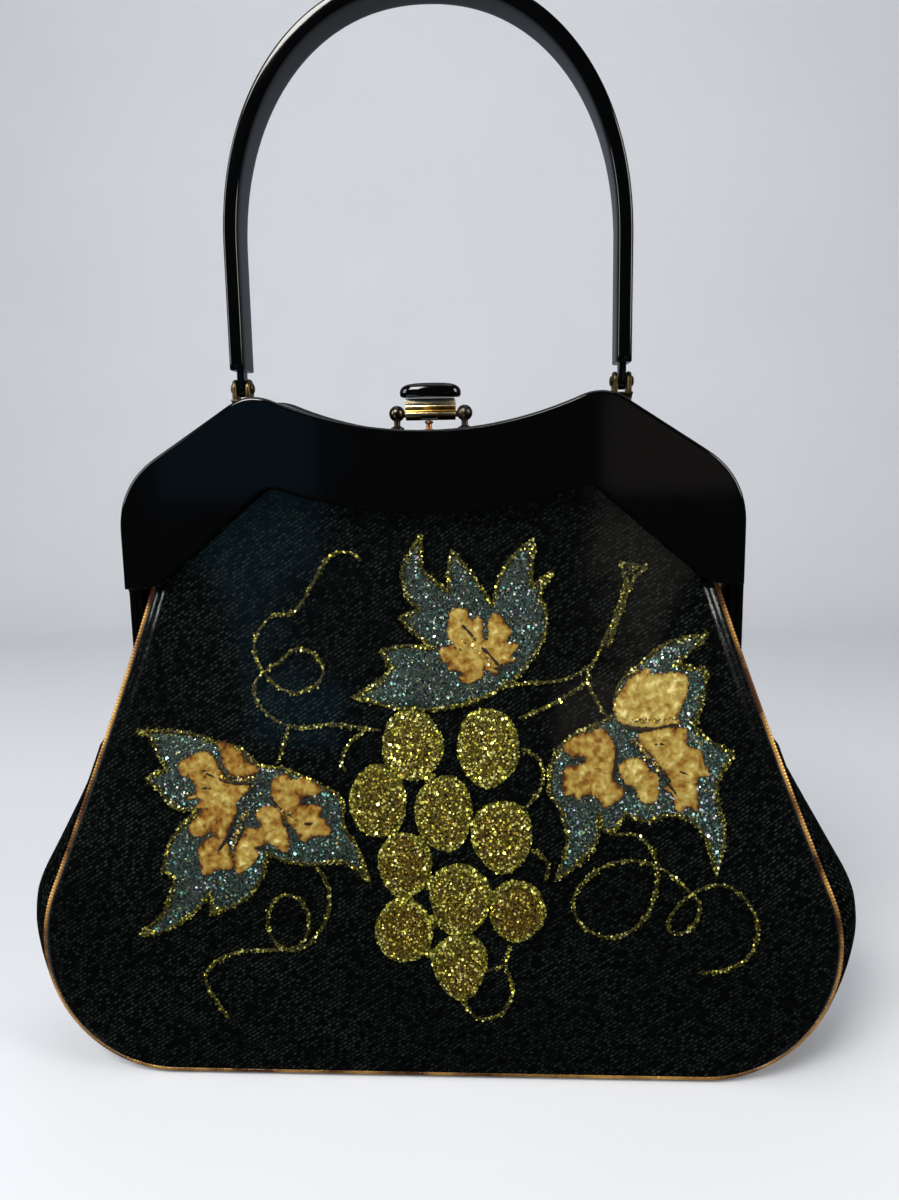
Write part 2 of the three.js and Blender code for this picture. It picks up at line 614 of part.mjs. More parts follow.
// Vine leaves: tips and notches in turn round the outline, x and z
const LEAF_OUTLINES = {
  leaf_top: [
    [33, 154], [41, 166], [42, 176], [45, 189], [37, 184], [38, 201], [30, 194], [23, 178], [8, 197],
    [7, 183], [-3, 203], [-10, 191], [-4, 176], [-12, 174], [2, 163], [-18, 162], [-14, 156], [-27, 146],
    [-12, 142.5], [11, 143], [22, 148],
  ],
  leaf_left: [
    [-110, 132], [-98, 119], [-106, 115], [-88, 104], [-98, 91], [-101, 81], [-96, 78], [-110, 57],
    [-90, 65], [-82, 74], [-83, 65], [-70, 71], [-62, 80], [-61, 89], [-45, 85], [-32, 87], [-23, 77],
    [-27, 91], [-32, 99], [-33, 109], [-43, 115], [-63, 121], [-80, 129],
  ],
  leaf_right: [
    [100, 166], [84, 163], [68, 149], [67, 139], [50, 131], [44, 123], [43, 112], [49, 93], [45, 81],
    [60, 93], [61, 104], [65, 99], [70, 104], [77, 101], [88, 103], [98, 96], [103, 82], [106, 96],
    [103, 112], [108, 123], [95, 134], [99, 154], [89, 156],
  ],
};

for (const [name, outline] of Object.entries(LEAF_OUTLINES)) {
  addPart(name, layOnPanel(finer.modify(flatForm(outline, GROUND))), FINISH.glitterGround);
}

// Velvet leaves on the glitter grounds: centre, length, width, and the angle that the tip points
const VELVET_LEAVES = [
  { name: 'velvet_top', x: 17, z: 163, long: 28, wide: 26, turn: -45 },
  { name: 'velvet_left_main', x: -80, z: 113, long: 26, wide: 22, turn: 150 },
  { name: 'velvet_left_lower', x: -80, z: 91, long: 25, wide: 18, turn: -110 },
  { name: 'velvet_left_middle', x: -63, z: 97, long: 23, wide: 18, turn: -75 },
  { name: 'velvet_left_end', x: -46, z: 103, long: 22, wide: 19, turn: -20 },
  { name: 'velvet_left_upper', x: -67, z: 117, long: 15, wide: 14, turn: 60 },
  { name: 'velvet_right_top', x: 82, z: 147, long: 24, wide: 20, turn: 70 },
  { name: 'velvet_right_near', x: 56, z: 118, long: 26, wide: 19, turn: -110 },
  { name: 'velvet_right_middle', x: 74, z: 116, long: 21, wide: 15, turn: -85 },
  { name: 'velvet_right_far', x: 91, z: 120, long: 28, wide: 18, turn: -60 },
];
const VELVET_LOBES = 7;
const VELVET_NOTCH = 0.78;

function velvetSolid(leaf, grow) {
  const points = [];
  const turn = THREE.MathUtils.degToRad(leaf.turn);
  for (let i = 0; i < 2 * VELVET_LOBES; i++) {
    const angle = Math.PI * i / VELVET_LOBES;
    const reach = i % 2 === 0 ? 1 : VELVET_NOTCH;
    const along = (leaf.long / 2 + grow) * reach * Math.cos(angle);
    const across = (leaf.wide / 2 + grow) * reach * Math.sin(angle);
    const point = new THREE.Vector2(along, across).rotateAround(new THREE.Vector2(), turn);
    points.push([leaf.x + point.x, leaf.z + point.y]);
  }
  const deeper = { lift: VELVET.lift - grow, thick: VELVET.thick + 2 * grow };
  return toSolid(flatForm(points, deeper));
}

VELVET_LEAVES.forEach((leaf, k) => {
  const cut = VELVET_LEAVES.slice(0, k).reduce(
    (rest, earlier) => rest.subtract(velvetSolid(earlier, GAP)), velvetSolid(leaf, 0));
  addPart(leaf.name, layOnPanel(finer.modify(toGeometry(cut).toNonIndexed())), FINISH.velvet);
});

// Grapes: centre and half sizes
const GRAPES = [
  { x: -6.8, z: 128.6, rx: 10.2, rz: 11.7 },
  { x: 20.8, z: 127.3, rx: 10.8, rz: 13.4 },
  { x: -19.6, z: 107, rx: 10, rz: 11.8 },
  { x: 4.2, z: 103.8, rx: 9.8, rz: 12.4 },
  { x: 25.6, z: 96, rx: 10.4, rz: 13 },
  { x: -10.6, z: 84.4, rx: 9.2, rz: 10.8 },
  { x: 10.2, z: 74.6, rx: 10.4, rz: 12.6 },
  { x: 31.2, z: 68, rx: 9.8, rz: 11.6 },
  { x: -11.4, z: 60.2, rx: 9.8, rz: 12 },
  { x: 9.4, z: 47.6, rx: 9.2, rz: 12.4 },
];
const GRAPE_PROFILE = [[0, 0], [1, 0], [0.97, 0.45], [0.72, 0.85], [0, 1]];
const GRAPE_SIDES = 12;

GRAPES.forEach((grape, k) => {
  const dome = turned(GRAPE_PROFILE, GRAPE_SIDES, 0, 0).scale(grape.rx, grape.rz, GRAPE.thick);
  const placed = dome.translate(grape.x, grape.z, GRAPE.lift);
  addPart(`grape_${k + 1}`, layOnPanel(placed), FINISH.goldGlitter);
});

// Stem and tendrils: beads of gold glitter drawn as runs through points, x and z
const STRANDS = {
  stem: [
    [[70, 193], [71, 187], [67, 174], [61, 161], [57, 152], [61, 142]],
    [[79, 191], [74, 189], [70, 184]],
    [[57.6, 154], [47, 152.5], [36, 149]],
    [[57, 151], [46, 144], [32.6, 138]],
  ],
  tendril_upper_left: [
    [[-25, 195], [-30, 198], [-37, 196], [-44, 185], [-50, 176.5], [-59, 174.5], [-65, 165], [-62, 155],
      [-52, 147.5], [-42, 150]],
    [[-42, 150], [-39.5, 157], [-48, 163], [-56, 158], [-64, 152], [-64.5, 145], [-58, 138], [-50, 135],
      [-36, 136], [-21, 134]],
    [[-52, 135.5], [-56, 122]],
    [[-23, 134.5], [-29, 130], [-32.5, 123], [-31, 119.5]],
  ],
  tendril_lower_left: [
    [[-41, 82], [-38, 75], [-39, 65], [-45, 55.5], [-53, 51.5], [-60, 56], [-61, 66], [-55, 73]],
    [[-55, 73], [-48, 70], [-46, 61], [-50, 53.5], [-60, 51.5], [-70, 51], [-80, 47.5], [-86, 41], [-84, 33],
      [-78, 24]],
  ],
  tendril_lower_right: [
    [[67.5, 97], [75, 95.5], [80.5, 88], [81.5, 78], [77, 65], [67, 58], [56, 61], [51, 70]],
    [[51, 70], [55, 79], [66, 86], [80, 85], [92, 76], [97, 69], [93, 60.5], [87, 59.5]],
    [[87, 59.5], [86, 65], [93, 73], [103, 77], [112, 73], [118, 62], [115, 50], [106, 45], [97, 44]],
  ],
  tendril_grape_loop: [
    [[28, 55], [26.5, 47], [29, 38], [25, 28], [16, 25.5], [10, 33]],
    [[26.5, 47], [20, 45.5]],
  ],
  tendril_grape_upper: [[[33.6, 127.5], [39.5, 123], [40, 114], [35.4, 107]]],
  tendril_grape_lower: [[[36.6, 90], [42, 86], [41, 79]]],
};
const STRAND_STEP = 9;
const STRAND_SIDES = 4;

function strandRun(run) {
  const lift = GROUND.lift + STRAND_R;
  const points = run.map(([x, z]) => new THREE.Vector3(x, -(panelDepth(x, z) + lift), z));
  const steps = Math.ceil(new THREE.CatmullRomCurve3(points).getLength() / STRAND_STEP);
  return tube(points, STRAND_R, STRAND_SIDES, steps);
}

for (const [name, runs] of Object.entries(STRANDS)) {
  addPart(name, toGeometry(union(runs.map(strandRun))), FINISH.goldGlitter);
}

export default bag;
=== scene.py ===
"""A black frame handbag with a glitter grapevine under clear vinyl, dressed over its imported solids."""
import math

import bmesh
import bpy
import numpy as np
from mathutils import Matrix, Vector, noise


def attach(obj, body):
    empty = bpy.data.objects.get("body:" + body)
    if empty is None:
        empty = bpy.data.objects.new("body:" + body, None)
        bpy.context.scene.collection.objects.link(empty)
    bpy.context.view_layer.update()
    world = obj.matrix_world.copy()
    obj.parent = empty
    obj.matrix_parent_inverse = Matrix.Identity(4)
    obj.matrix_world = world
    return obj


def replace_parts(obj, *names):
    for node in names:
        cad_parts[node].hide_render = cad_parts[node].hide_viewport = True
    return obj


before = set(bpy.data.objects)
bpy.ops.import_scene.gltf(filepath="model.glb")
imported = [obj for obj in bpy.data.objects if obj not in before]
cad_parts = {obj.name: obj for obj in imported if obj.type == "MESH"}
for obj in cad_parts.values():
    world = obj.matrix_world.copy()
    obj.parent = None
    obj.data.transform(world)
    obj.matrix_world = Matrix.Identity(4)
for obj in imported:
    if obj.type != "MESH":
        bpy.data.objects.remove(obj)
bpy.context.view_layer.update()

# --- Twill panels ---------------------------------------------------------------------------
# The front and back are black cotton twill, both cut to one outline. They bow outwards over a
# stiff lining, are sewn to the gusset round the sides, and are tucked into the frame at the top.

MM = 0.001  # shapes are drawn in millimetres, and a finished piece is scaled to metres
TO_BACK = Matrix.Rotation(math.pi, 3, "Z")  # the back pieces are the front ones turned round
CLOTH = 2

PANEL_BOTTOM = 3.1
CORNER, CORNER_R, CORNER_END = (99.7, 51.9), 48.8, math.radians(22)
EDGE_BEND, EDGE_TOP, EDGE_TUCK = (127.1, 114.3), (102.3, 186), (99.7, 199.5)

corner_turn = np.linspace(-math.pi / 2, CORNER_END, 60)
corner_line = np.add(CORNER, CORNER_R * np.stack([np.cos(corner_turn), np.sin(corner_turn)], axis=1))
share = np.linspace(0, 1, 60)[1:, None]
side_line = ((1 - share) ** 2 * corner_line[-1] + 2 * share * (1 - share) * np.array(EDGE_BEND)
             + share ** 2 * np.array(EDGE_TOP))
edge_line = np.concatenate([[(0, PANEL_BOTTOM)], corner_line, side_line, [EDGE_TUCK]])
edge_run = np.append(0, np.cumsum(np.linalg.norm(np.diff(edge_line, axis=0), axis=1)))


def edge_at(run):
    """The point of the panel's right-hand edge that lies a given run from the bottom's middle."""
    return np.interp(run, edge_run, edge_line[:, 0]), np.interp(run, edge_run, edge_line[:, 1])


def half_width(z):
    return np.interp(z, edge_line[1:, 1], edge_line[1:, 0])


DEPTH_TOP, DEPTH_BOTTOM, SLANT_TOP, SLANT_EASE = 14.2, 36.5, 186, 36
BELLY, BELLY_TOP, BELLY_SIDES, BELLY_ENDS = 8, 210, 2.5, 1.5  # how far it bows, up to where, and how fully


def edge_depth(z):
    """How far the panel's edge stands in front of the bag's middle at a height."""
    below = SLANT_TOP - np.asarray(z)
    eased = np.clip(below + SLANT_EASE, 0, None) ** 2 / (4 * SLANT_EASE)
    return DEPTH_TOP + (DEPTH_BOTTOM - DEPTH_TOP) / SLANT_TOP * np.where(below > SLANT_EASE, below, eased)


def panel_depth(x, z):
    across = np.minimum(1, np.abs(x) / half_width(z))
    up = np.sin(math.pi * np.clip(z / BELLY_TOP, 0, 1))
    return edge_depth(z) + BELLY * (1 - across ** BELLY_SIDES) * up ** BELLY_ENDS


TOP_RISE = ((0, 0.57, 0.9, 1), (24, 33, 8, 0))  # how the tucked edge rises across the half width
TOP_RISE_FROM = 100


def panel_drawing(u, v, _):
    """Spreads a grid, from -1 to 1 both ways, over the panel's outline."""
    side_x, side_z = edge_at(CORNER[0] + (edge_run[-1] - CORNER[0]) * (v + 1) / 2)
    rise = np.clip((side_z - TOP_RISE_FROM) / (EDGE_TUCK[1] - TOP_RISE_FROM), 0, 1) ** 2
    return u * side_x, side_z + rise * np.interp(np.abs(u), *TOP_RISE), 0 * u


def reshape(bm, move):
    """Moves every vertex of a mesh to where move puts its coordinates."""
    places = np.array([vert.co for vert in bm.verts])
    for vert, place in zip(bm.verts, np.stack(move(*places.T), axis=1)):
        vert.co = place


def flat_cloth(columns, rows, drawing):
    """A cloth grid in its flat drawing, with the drawing kept as its UV map, and its flat size."""
    bm = bmesh.new()
    bmesh.ops.create_grid(bm, x_segments=columns, y_segments=rows, size=1)
    reshape(bm, drawing)
    cloth = bm.loops.layers.uv.new("cloth")
    for face in bm.faces:
        for loop in face.loops:
            loop[cloth].uv = loop.vert.co.xy
    places = np.array([vert.co for vert in bm.verts])
    size = tuple(float(side) * MM for side in np.ptp(places[:, :2], axis=0))
    return bm, size, sum(face.calc_area() for face in bm.faces) * MM * MM


def node(tree, kind, sockets, **settings):
    """Adds a shader node, with its sockets set to values or linked to other nodes' sockets."""
    made = tree.nodes.new("ShaderNode" + kind)
    for key, value in settings.items():
        setattr(made, key, value)
    for key, value in sockets.items():
        if isinstance(value, bpy.types.NodeSocket):
            tree.links.new(value, made.inputs[key])
        else:
            made.inputs[key].default_value = value
    return made


def new_material(name, finish):
    """A material with a Principled shader that has the finish's plain values."""
    made = bpy.data.materials.new(name)
    made.use_nodes = True
    tree = made.node_tree
    shader = tree.nodes["Principled BSDF"]
    for socket, value in finish.items():
        shader.inputs[socket].default_value = value
    return made, tree, shader


def new_group(name, inputs, outputs):
    """A shader node group with vector or value inputs, and colour or value outputs."""
    group = bpy.data.node_groups.new(name, "ShaderNodeTree")
    for way, sockets in (("INPUT", inputs), ("OUTPUT", outputs)):
        for socket, kind in sockets.items():
            group.interface.new_socket(socket, in_out=way, socket_type="NodeSocket" + kind)
    return group, group.nodes.new("NodeGroupInput").outputs, group.nodes.new("NodeGroupOutput").inputs


def emboss(tree, shader, height, strength, deep):
    """Raises a finish by a height socket, so many millimetres deep."""
    bump = node(tree, "Bump", {"Height": height, "Strength": strength, "Distance": deep * MM})
    tree.links.new(bump.outputs[0], shader.inputs["Normal"])


def finish_piece(name, bm, material, body="bag", sharp=35):
    """Makes a mesh that was drawn in millimetres a piece that rides on a body."""
    bmesh.ops.scale(bm, vec=(MM, MM, MM), verts=bm.verts)
    mesh = bpy.data.meshes.new(name)
    bm.to_mesh(mesh)
    bm.free()
    mesh.shade_smooth()
    mesh.set_sharp_from_angle(angle=math.radians(sharp))
    made = bpy.data.objects.new(name, mesh)
    bpy.context.scene.collection.objects.link(made)
    mesh.materials.append(material)
    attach(made, body)
    return made


def thicken(made, thick):
    """Gives a sheet its thickness, inwards from the face that shows."""
    wall = made.modifiers.new("thickness", "SOLIDIFY")
    wall.thickness = thick * MM
    wall.offset = -1


RIB_TURN = math.radians(-33)  # the ribs rise to the right
RIB, FLOAT, THREAD_GAP = 1.3, 2.0, 0.34

weave, given, result = new_group("twill weave", {"Cloth": "Vector"},
                                 {"Thread with painted sheen": "Color", "Roughness": "Float", "Height": "Float"})
turned_cloth = node(weave, "Mapping", {"Vector": given["Cloth"], "Rotation": (0, 0, RIB_TURN)})
wander = node(weave, "TexNoise", {"Vector": turned_cloth.outputs[0], "Scale": 0.35, "Detail": 3})
uneven = node(weave, "MixRGB", {"Fac": 0.2, "Color1": turned_cloth.outputs[0],
                               "Color2": wander.outputs["Color"]}, blend_type="ADD")
# The floats are drawn much lighter than the gaps between them: the twill's pattern, with painted sheen on the
# floats and painted shade in the gaps.
floats = node(weave, "TexBrick", {
    "Vector": uneven.outputs[0], "Scale": 1, "Brick Width": FLOAT, "Row Height": RIB,
    "Mortar Size": THREAD_GAP, "Mortar Smooth": 0.4, "Bias": 0.2, "Color1": (0.0150, 0.0205, 0.0175, 1),
    "Color2": (0.0003, 0.0005, 0.0004, 1), "Mortar": (0.0002, 0.0003, 0.0003, 1)}, offset=0.3)
fading = node(weave, "TexNoise", {"Vector": given["Cloth"], "Scale": 0.018, "Detail": 4})
faded = node(weave, "MapRange", {"Value": fading.outputs["Fac"], "From Min": 0.3, "From Max": 0.7,
                                 "To Min": 0.55, "To Max": 1.15})
threads = node(weave, "MixRGB", {"Fac": 1, "Color1": floats.outputs["Color"],
                                "Color2": faded.outputs[0]}, blend_type="MULTIPLY")
weave.links.new(threads.outputs[0], result["Thread with painted sheen"])
rubbed = node(weave, "MapRange", {"Value": fading.outputs["Fac"], "To Min": 0.62, "To Max": 0.8})
weave.links.new(rubbed.outputs[0], result["Roughness"])
relief = node(weave, "Math", {0: 1.0, 1: floats.outputs["Fac"]}, operation="SUBTRACT")
weave.links.new(relief.outputs[0], result["Height"])

twill, tree, shader = new_material("black_twill", {"Specular IOR Level": 0.015})
flat = node(tree, "UVMap", {}, uv_map="cloth")
woven = node(tree, "Group", {}, node_tree=weave)
tree.links.new(flat.outputs[0], woven.inputs["Cloth"])
tree.links.new(woven.outputs["Thread with painted sheen"], shader.inputs["Base Color"])
tree.links.new(woven.outputs["Roughness"], shader.inputs["Roughness"])
emboss(tree, shader, woven.outputs["Height"], 0.6, 0.3)

PANEL_GRID = 110, 90
for name in ("front_panel", "back_panel"):
    bm, flat_size, flat_area = flat_cloth(*PANEL_GRID, panel_drawing)
    reshape(bm, lambda x, z, _: (x, -panel_depth(x, z), z))
    if name == "back_panel":
        bmesh.ops.rotate(bm, verts=bm.verts, matrix=TO_BACK)
    panel = finish_piece(name + "_twill", bm, twill)
    thicken(panel, CLOTH)
    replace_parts(panel, name)

# --- Gusset ---------------------------------------------------------------------------------
# One long strip of the same twill makes the bottom and both sides. It bulges out at the bottom
# corners, folds in at the waist, and is caught between the two panels along their edges.

GUSSET_END = 0.905  # it stops short of the frame, as a share of the panel's edge
GUSSET_HEIGHTS = (3.1, 8, 30, 53, 63, 91, 112, 126, 145, 158, 172)
SEAM_OUT = (3.1, 3.1, 3.1, 3.1, 3.1, 3.1, 3.1, 3.1, -14, -9.6, -4.8)
MIDDLE_OUT = (3.1, 4.6, 8.8, 13, 13.4, 8.9, 5.2, 1, -14, -9.6, -4.8)
SEAM_ROOM, GUSSET_GRID = CLOTH + 0.55, (280, 28)


def edge_ahead(run):
    (x0, z0), (x1, z1) = edge_at(run - 1), edge_at(run + 1)
    length = np.hypot(x1 - x0, z1 - z0)
    return (x1 - x0) / length, (z1 - z0) / length


def gusset_drawing(u, v, _):
    run = u * edge_run[-1] * GUSSET_END
    return run, v * (edge_depth(edge_at(np.abs(run))[1]) - SEAM_ROOM), 0 * u


def gusset_bend(run, across, _):
    side = np.where(run < 0, -1, 1)
    x, z = edge_at(np.abs(run))
    ahead_x, ahead_z = edge_ahead(np.abs(run))
    near_seam = np.abs(across / (edge_depth(z) - SEAM_ROOM)) ** 3
    seam, middle = np.interp(z, GUSSET_HEIGHTS, SEAM_OUT), np.interp(z, GUSSET_HEIGHTS, MIDDLE_OUT)
    out = middle + (seam - middle) * near_seam
    return side * (x + ahead_z * out), -across, z - ahead_x * out


bm, flat_size, flat_area = flat_cloth(*GUSSET_GRID, gusset_drawing)
reshape(bm, gusset_bend)
gusset = finish_piece("gusset_twill", bm, twill)
thicken(gusset, CLOTH)
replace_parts(gusset, "gusset")

# --- Glitter leaves -------------------------------------------------------------------------
# Three big vine leaves are drawn on the front panel in clear glue, and strewn with fine
# turquoise and silver glitter while it is wet. They lie flat on the twill.

GROUND_LIFT, GROUND_THICK = 0.9, 0.5
TIP = "tip"  # a point where the outline turns sharply

LEAF_OUTLINES = {
    "leaf_top": [
        (33, 154), (41, 166), (42, 176), (40, 182), (45, 190, TIP), (37, 184, TIP), (37, 192), (38, 202, TIP),
        (31, 196), (26, 189), (23, 178, TIP), (19, 184), (14, 191), (8, 198, TIP), (7, 192), (7, 183, TIP),
        (2, 187), (-3, 192), (-3, 204, TIP), (-8, 196), (-10, 190), (-8, 181), (-4, 177, TIP),
        (-11, 174, TIP), (-6, 169), (2, 163, TIP), (-10, 164), (-18, 162, TIP), (-14, 156, TIP),
        (-20, 150), (-28, 146, TIP), (-13, 142), (-1, 141.5), (11, 143), (22, 147),
    ],
    "leaf_left": [
        (-111, 132, TIP), (-101, 132.5), (-90, 132), (-80, 129), (-69, 126), (-63, 121), (-54, 120),
        (-43, 115), (-33, 109), (-32, 99), (-27, 91), (-23, 79, TIP), (-32, 86), (-45, 85), (-53, 86),
        (-61, 89, TIP), (-63, 80), (-70, 71), (-83, 65, TIP), (-82, 74, TIP), (-90, 65), (-101, 58),
        (-111, 56, TIP), (-101, 65), (-96, 78, TIP), (-101, 81, TIP), (-98, 91), (-92, 99),
        (-87, 104, TIP), (-96, 105), (-101, 110), (-107, 115, TIP), (-98, 119, TIP), (-101, 122), (-105, 130),
    ],
    "leaf_right": [
        (101, 167, TIP), (92, 165.5), (84, 163), (75, 156), (68, 149), (67, 139, TIP), (61, 136), (50, 131),
        (44, 123), (43, 112), (47, 105), (49, 93), (45, 80, TIP), (53, 86), (59, 93), (61, 104, TIP),
        (64, 97), (70, 104, TIP), (77, 101), (88, 103), (98, 96), (103, 81, TIP), (106, 96), (103, 112),
        (109, 124, TIP), (102, 128), (95, 134, TIP), (98, 143), (100, 154, TIP), (88, 156, TIP),
    ],
}


def smooth_line(points, closed=False, step=1.2):
    """A smooth line through points in the drawing, with corners at its tips."""
    places = np.array([point[:2] for point in points], float)
    count = len(places)
    line = []

    def heading(k, chord):
        if TIP in points[k] or (not closed and k in (0, count - 1)):
            return chord
        through = places[(k + 1) % count] - places[k - 1]
        return through * np.linalg.norm(chord) / np.linalg.norm(through)

    for k in range(count if closed else count - 1):
        start, end = places[k], places[(k + 1) % count]
        chord = end - start
        leave, arrive = heading(k, chord), heading((k + 1) % count, chord)
        for t in np.linspace(0, 1, max(2, round(np.linalg.norm(chord) / step)), endpoint=False):
            line.append((1 + 2 * t) * (1 - t) ** 2 * start + t * (1 - t) ** 2 * leave
                        + t * t * (3 - 2 * t) * end + t * t * (t - 1) * arrive)
    return line if closed else line + [places[-1]]


def lay_on_panel(bm):
    """Bends a flat drawing, with heights above the cloth, on to the front panel."""
    reshape(bm, lambda x, z, height: (x, -(panel_depth(x, z) + height), z))


def filled_shape(outline, height, longest=5, rounds=4):
    """A flat shape in the drawing, cut into small triangles."""
    bm = bmesh.new()
    face = bm.faces.new([bm.verts.new((x, z, height)) for x, z in outline])
    face.normal_update()
    if face.normal.z < 0:
        bmesh.ops.reverse_faces(bm, faces=[face])
    bmesh.ops.triangulate(bm, faces=bm.faces)
    for _ in range(rounds):
        long = [line for line in bm.edges if line.calc_length() > longest]
        bmesh.ops.subdivide_edges(bm, edges=long, cuts=1)
        bmesh.ops.triangulate(bm, faces=bm.faces)
    return bm


rng = np.random.default_rng(11)
FLAKE_DEEP = 0.3  # how far a flake's keel goes into the glue, as a share of its half width
BRIGHT, BRIGHT_LIFT, BRIGHT_WIDER = 0.6, 0.15, 0.25

flake_shape = bmesh.new()
bmesh.ops.create_cone(flake_shape, cap_ends=True, segments=4, radius1=1, radius2=0, depth=FLAKE_DEEP)
bmesh.ops.remove_doubles(flake_shape, verts=flake_shape.verts, dist=0.001)
bmesh.ops.rotate(flake_shape, verts=flake_shape.verts, matrix=Matrix.Rotation(math.pi, 3, "X"))
bmesh.ops.translate(flake_shape, verts=flake_shape.verts, vec=(0, 0, FLAKE_DEEP / 2))
flake_shape.verts.index_update()
flake_corners = np.array([vert.co for vert in flake_shape.verts])
flake_faces = [[vert.index for vert in face.verts] for face in flake_shape.faces]
flake_shape.free()


def strew(bm, per_mm2):
    """Random places on the upper side of a drawn mesh, with the way that each place faces."""
    whole = bm.copy()
    bmesh.ops.triangulate(whole, faces=whole.faces)
    whole.normal_update()
    faces = [face for face in whole.faces if face.normal.z > 0.1]
    corners = np.array([[vert.co for vert in face.verts] for face in faces])
    normals = np.array([face.normal for face in faces])
    areas = np.array([face.calc_area() for face in faces])
    whole.free()
    count = round(areas.sum() * per_mm2)
    pick = rng.choice(len(faces), count, p=areas / areas.sum())
    a, b = rng.random((2, count, 1))
    a, b = np.where(a + b > 1, 1 - a, a), np.where(a + b > 1, 1 - b, b)
    origin = corners[pick, 0]
    return origin + a * (corners[pick, 1] - origin) + b * (corners[pick, 2] - origin), normals[pick]


def unit(vectors):
    return vectors / np.linalg.norm(vectors, axis=-1, keepdims=True)


def lumps(spots, size):
    """Uneven lumps of about a size, from -1 to 1, at spots in the drawing."""
    coarse, fine = (spots / size, 0.5), (2 * spots / size, 3.5)
    return sum(share * np.array([noise.noise((x, z, layer)) for x, z in places])
               for share, (places, layer) in ((1, coarse), (0.5, fine)))


def pick_tints(count, tints):
    """A colour for each flake, from rows of a share and a colour, with some light and some dark."""
    shares = np.array([row[0] for row in tints], float)
    colours = np.array([row[1] for row in tints])[rng.choice(len(tints), count, p=shares / shares.sum())]
    return np.minimum(1, colours * rng.uniform(0.3, 1.5, (count, 1)))


def glitter(name, places, normals, tints, half_wide, tilt, material):
    """Strews loose flakes over places in the drawing, each tilted its own way, as one piece."""
    count = len(places)
    bright = tints.max(axis=1)[:, None] > BRIGHT  # the largest flakes, which lie on top
    places = places + bright * np.array((0, 0, BRIGHT_LIFT))
    up = unit(normals + rng.normal(0, tilt, (count, 3)))
    along = unit(np.cross(up, rng.normal(0, 1, (count, 3))))
    axes = np.stack([along, np.cross(up, along), up], axis=1)
    wide = half_wide * rng.uniform(0.55, 1.4, (count, 1, 1)) * (1 + BRIGHT_WIDER * bright[:, None])
    points = (places[:, None] + wide * (flake_corners @ axes)).reshape(-1, 3)
    points = np.stack([points[:, 0], -(panel_depth(points[:, 0], points[:, 1]) + points[:, 2]), points[:, 1]],
                      axis=1)
    per_flake = len(flake_corners)
    mesh = bpy.data.meshes.new(name)
    mesh.from_pydata((points * MM).tolist(), [],
                     [[k * per_flake + i for i in face] for k in range(count) for face in flake_faces])
    tint = mesh.attributes.new("tint", "FLOAT_COLOR", "POINT")
    colours = np.append(np.repeat(tints, per_flake, axis=0), np.ones((count * per_flake, 1)), axis=1)
    tint.data.foreach_set("color", colours.astype(np.float32).ravel())
    mesh.materials.append(material)
    made = bpy.data.objects.new(name, mesh)
    bpy.context.scene.collection.objects.link(made)
    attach(made, "bag")
    return made


grit, given, result = new_group("glitter grit", {"Grains per mm": "Float"},
                                {"Grain": "Color", "Height": "Float"})
place = node(grit, "TexCoord", {})
to_mm = node(grit, "VectorMath", {0: place.outputs["Object"], "Scale": 1 / MM}, operation="SCALE")
grains = node(grit, "TexVoronoi", {"Vector": to_mm.outputs[0], "Scale": given["Grains per mm"]})
grit.links.new(grains.outputs["Color"], result["Grain"])
grit.links.new(grains.outputs["Distance"], result["Height"])


def dye(tree, shader, share, dark, light):
    """Colours a finish from dark to light by a share that changes over the piece."""
    colour = node(tree, "MixRGB", {"Fac": share, "Color1": (*dark, 1), "Color2": (*light, 1)})
    tree.links.new(colour.outputs[0], shader.inputs["Base Color"])


def glue_material(name, dark, light, grains_per_mm):
    """Set glue with grains of glitter sunk in it, from a dark colour to a light one."""
    made, tree, shader = new_material(name, {"Metallic": 0.3, "Roughness": 0.5, "Specular IOR Level": 0.3})
    grains = node(tree, "Group", {}, node_tree=grit)
    grains.inputs["Grains per mm"].default_value = grains_per_mm
    shade = node(tree, "SeparateColor", {"Color": grains.outputs["Grain"]})
    dye(tree, shader, shade.outputs[0], dark, light)
    emboss(tree, shader, grains.outputs["Height"], 0.7, 0.2)
    return made


def flake_material(name, roughness):
    made, tree, shader = new_material(name, {"Metallic": 0.6, "Roughness": roughness})
    tint = node(tree, "Attribute", {}, attribute_name="tint")
    tree.links.new(tint.outputs["Color"], shader.inputs["Base Color"])
    return made


leaf_glue = glue_material("leaf_glue", (0.005, 0.009, 0.008), (0.034, 0.052, 0.045), 1.6)
leaf_flakes = flake_material("leaf_flakes", 0.24)
LEAF_TINTS = (  # share and colour
    (46, (0.022, 0.037, 0.030)), (26, (0.10, 0.15, 0.125)), (10, (0.055, 0.17, 0.15)), (9,
    (0.11, 0.17, 0.10)), (7, (0.12, 0.11, 0.17)), (2, (0.36, 0.29, 0.09)),
)
SPARKLE_TINTS = (
    (38, (0.26, 0.36, 0.33)), (34, (0.28, 0.72, 0.68)), (15, (0.9, 1.0, 0.97)), (13, (0.45, 0.40, 0.62)),
)
SPARKLE, SPARKLE_MORE, SPARKLE_PATCH, SPARKLE_LIMITS = 0.05, 0.26, 8, (0.02, 0.26)
LEAF_SHINE = {"leaf_top": 0.8, "leaf_left": 1.2, "leaf_right": 1.6}  # how well the glitter has kept its foil
LEAF_PER_MM2, LEAF_FLAKE, LEAF_TILT = 2.6, 0.37, 0.3

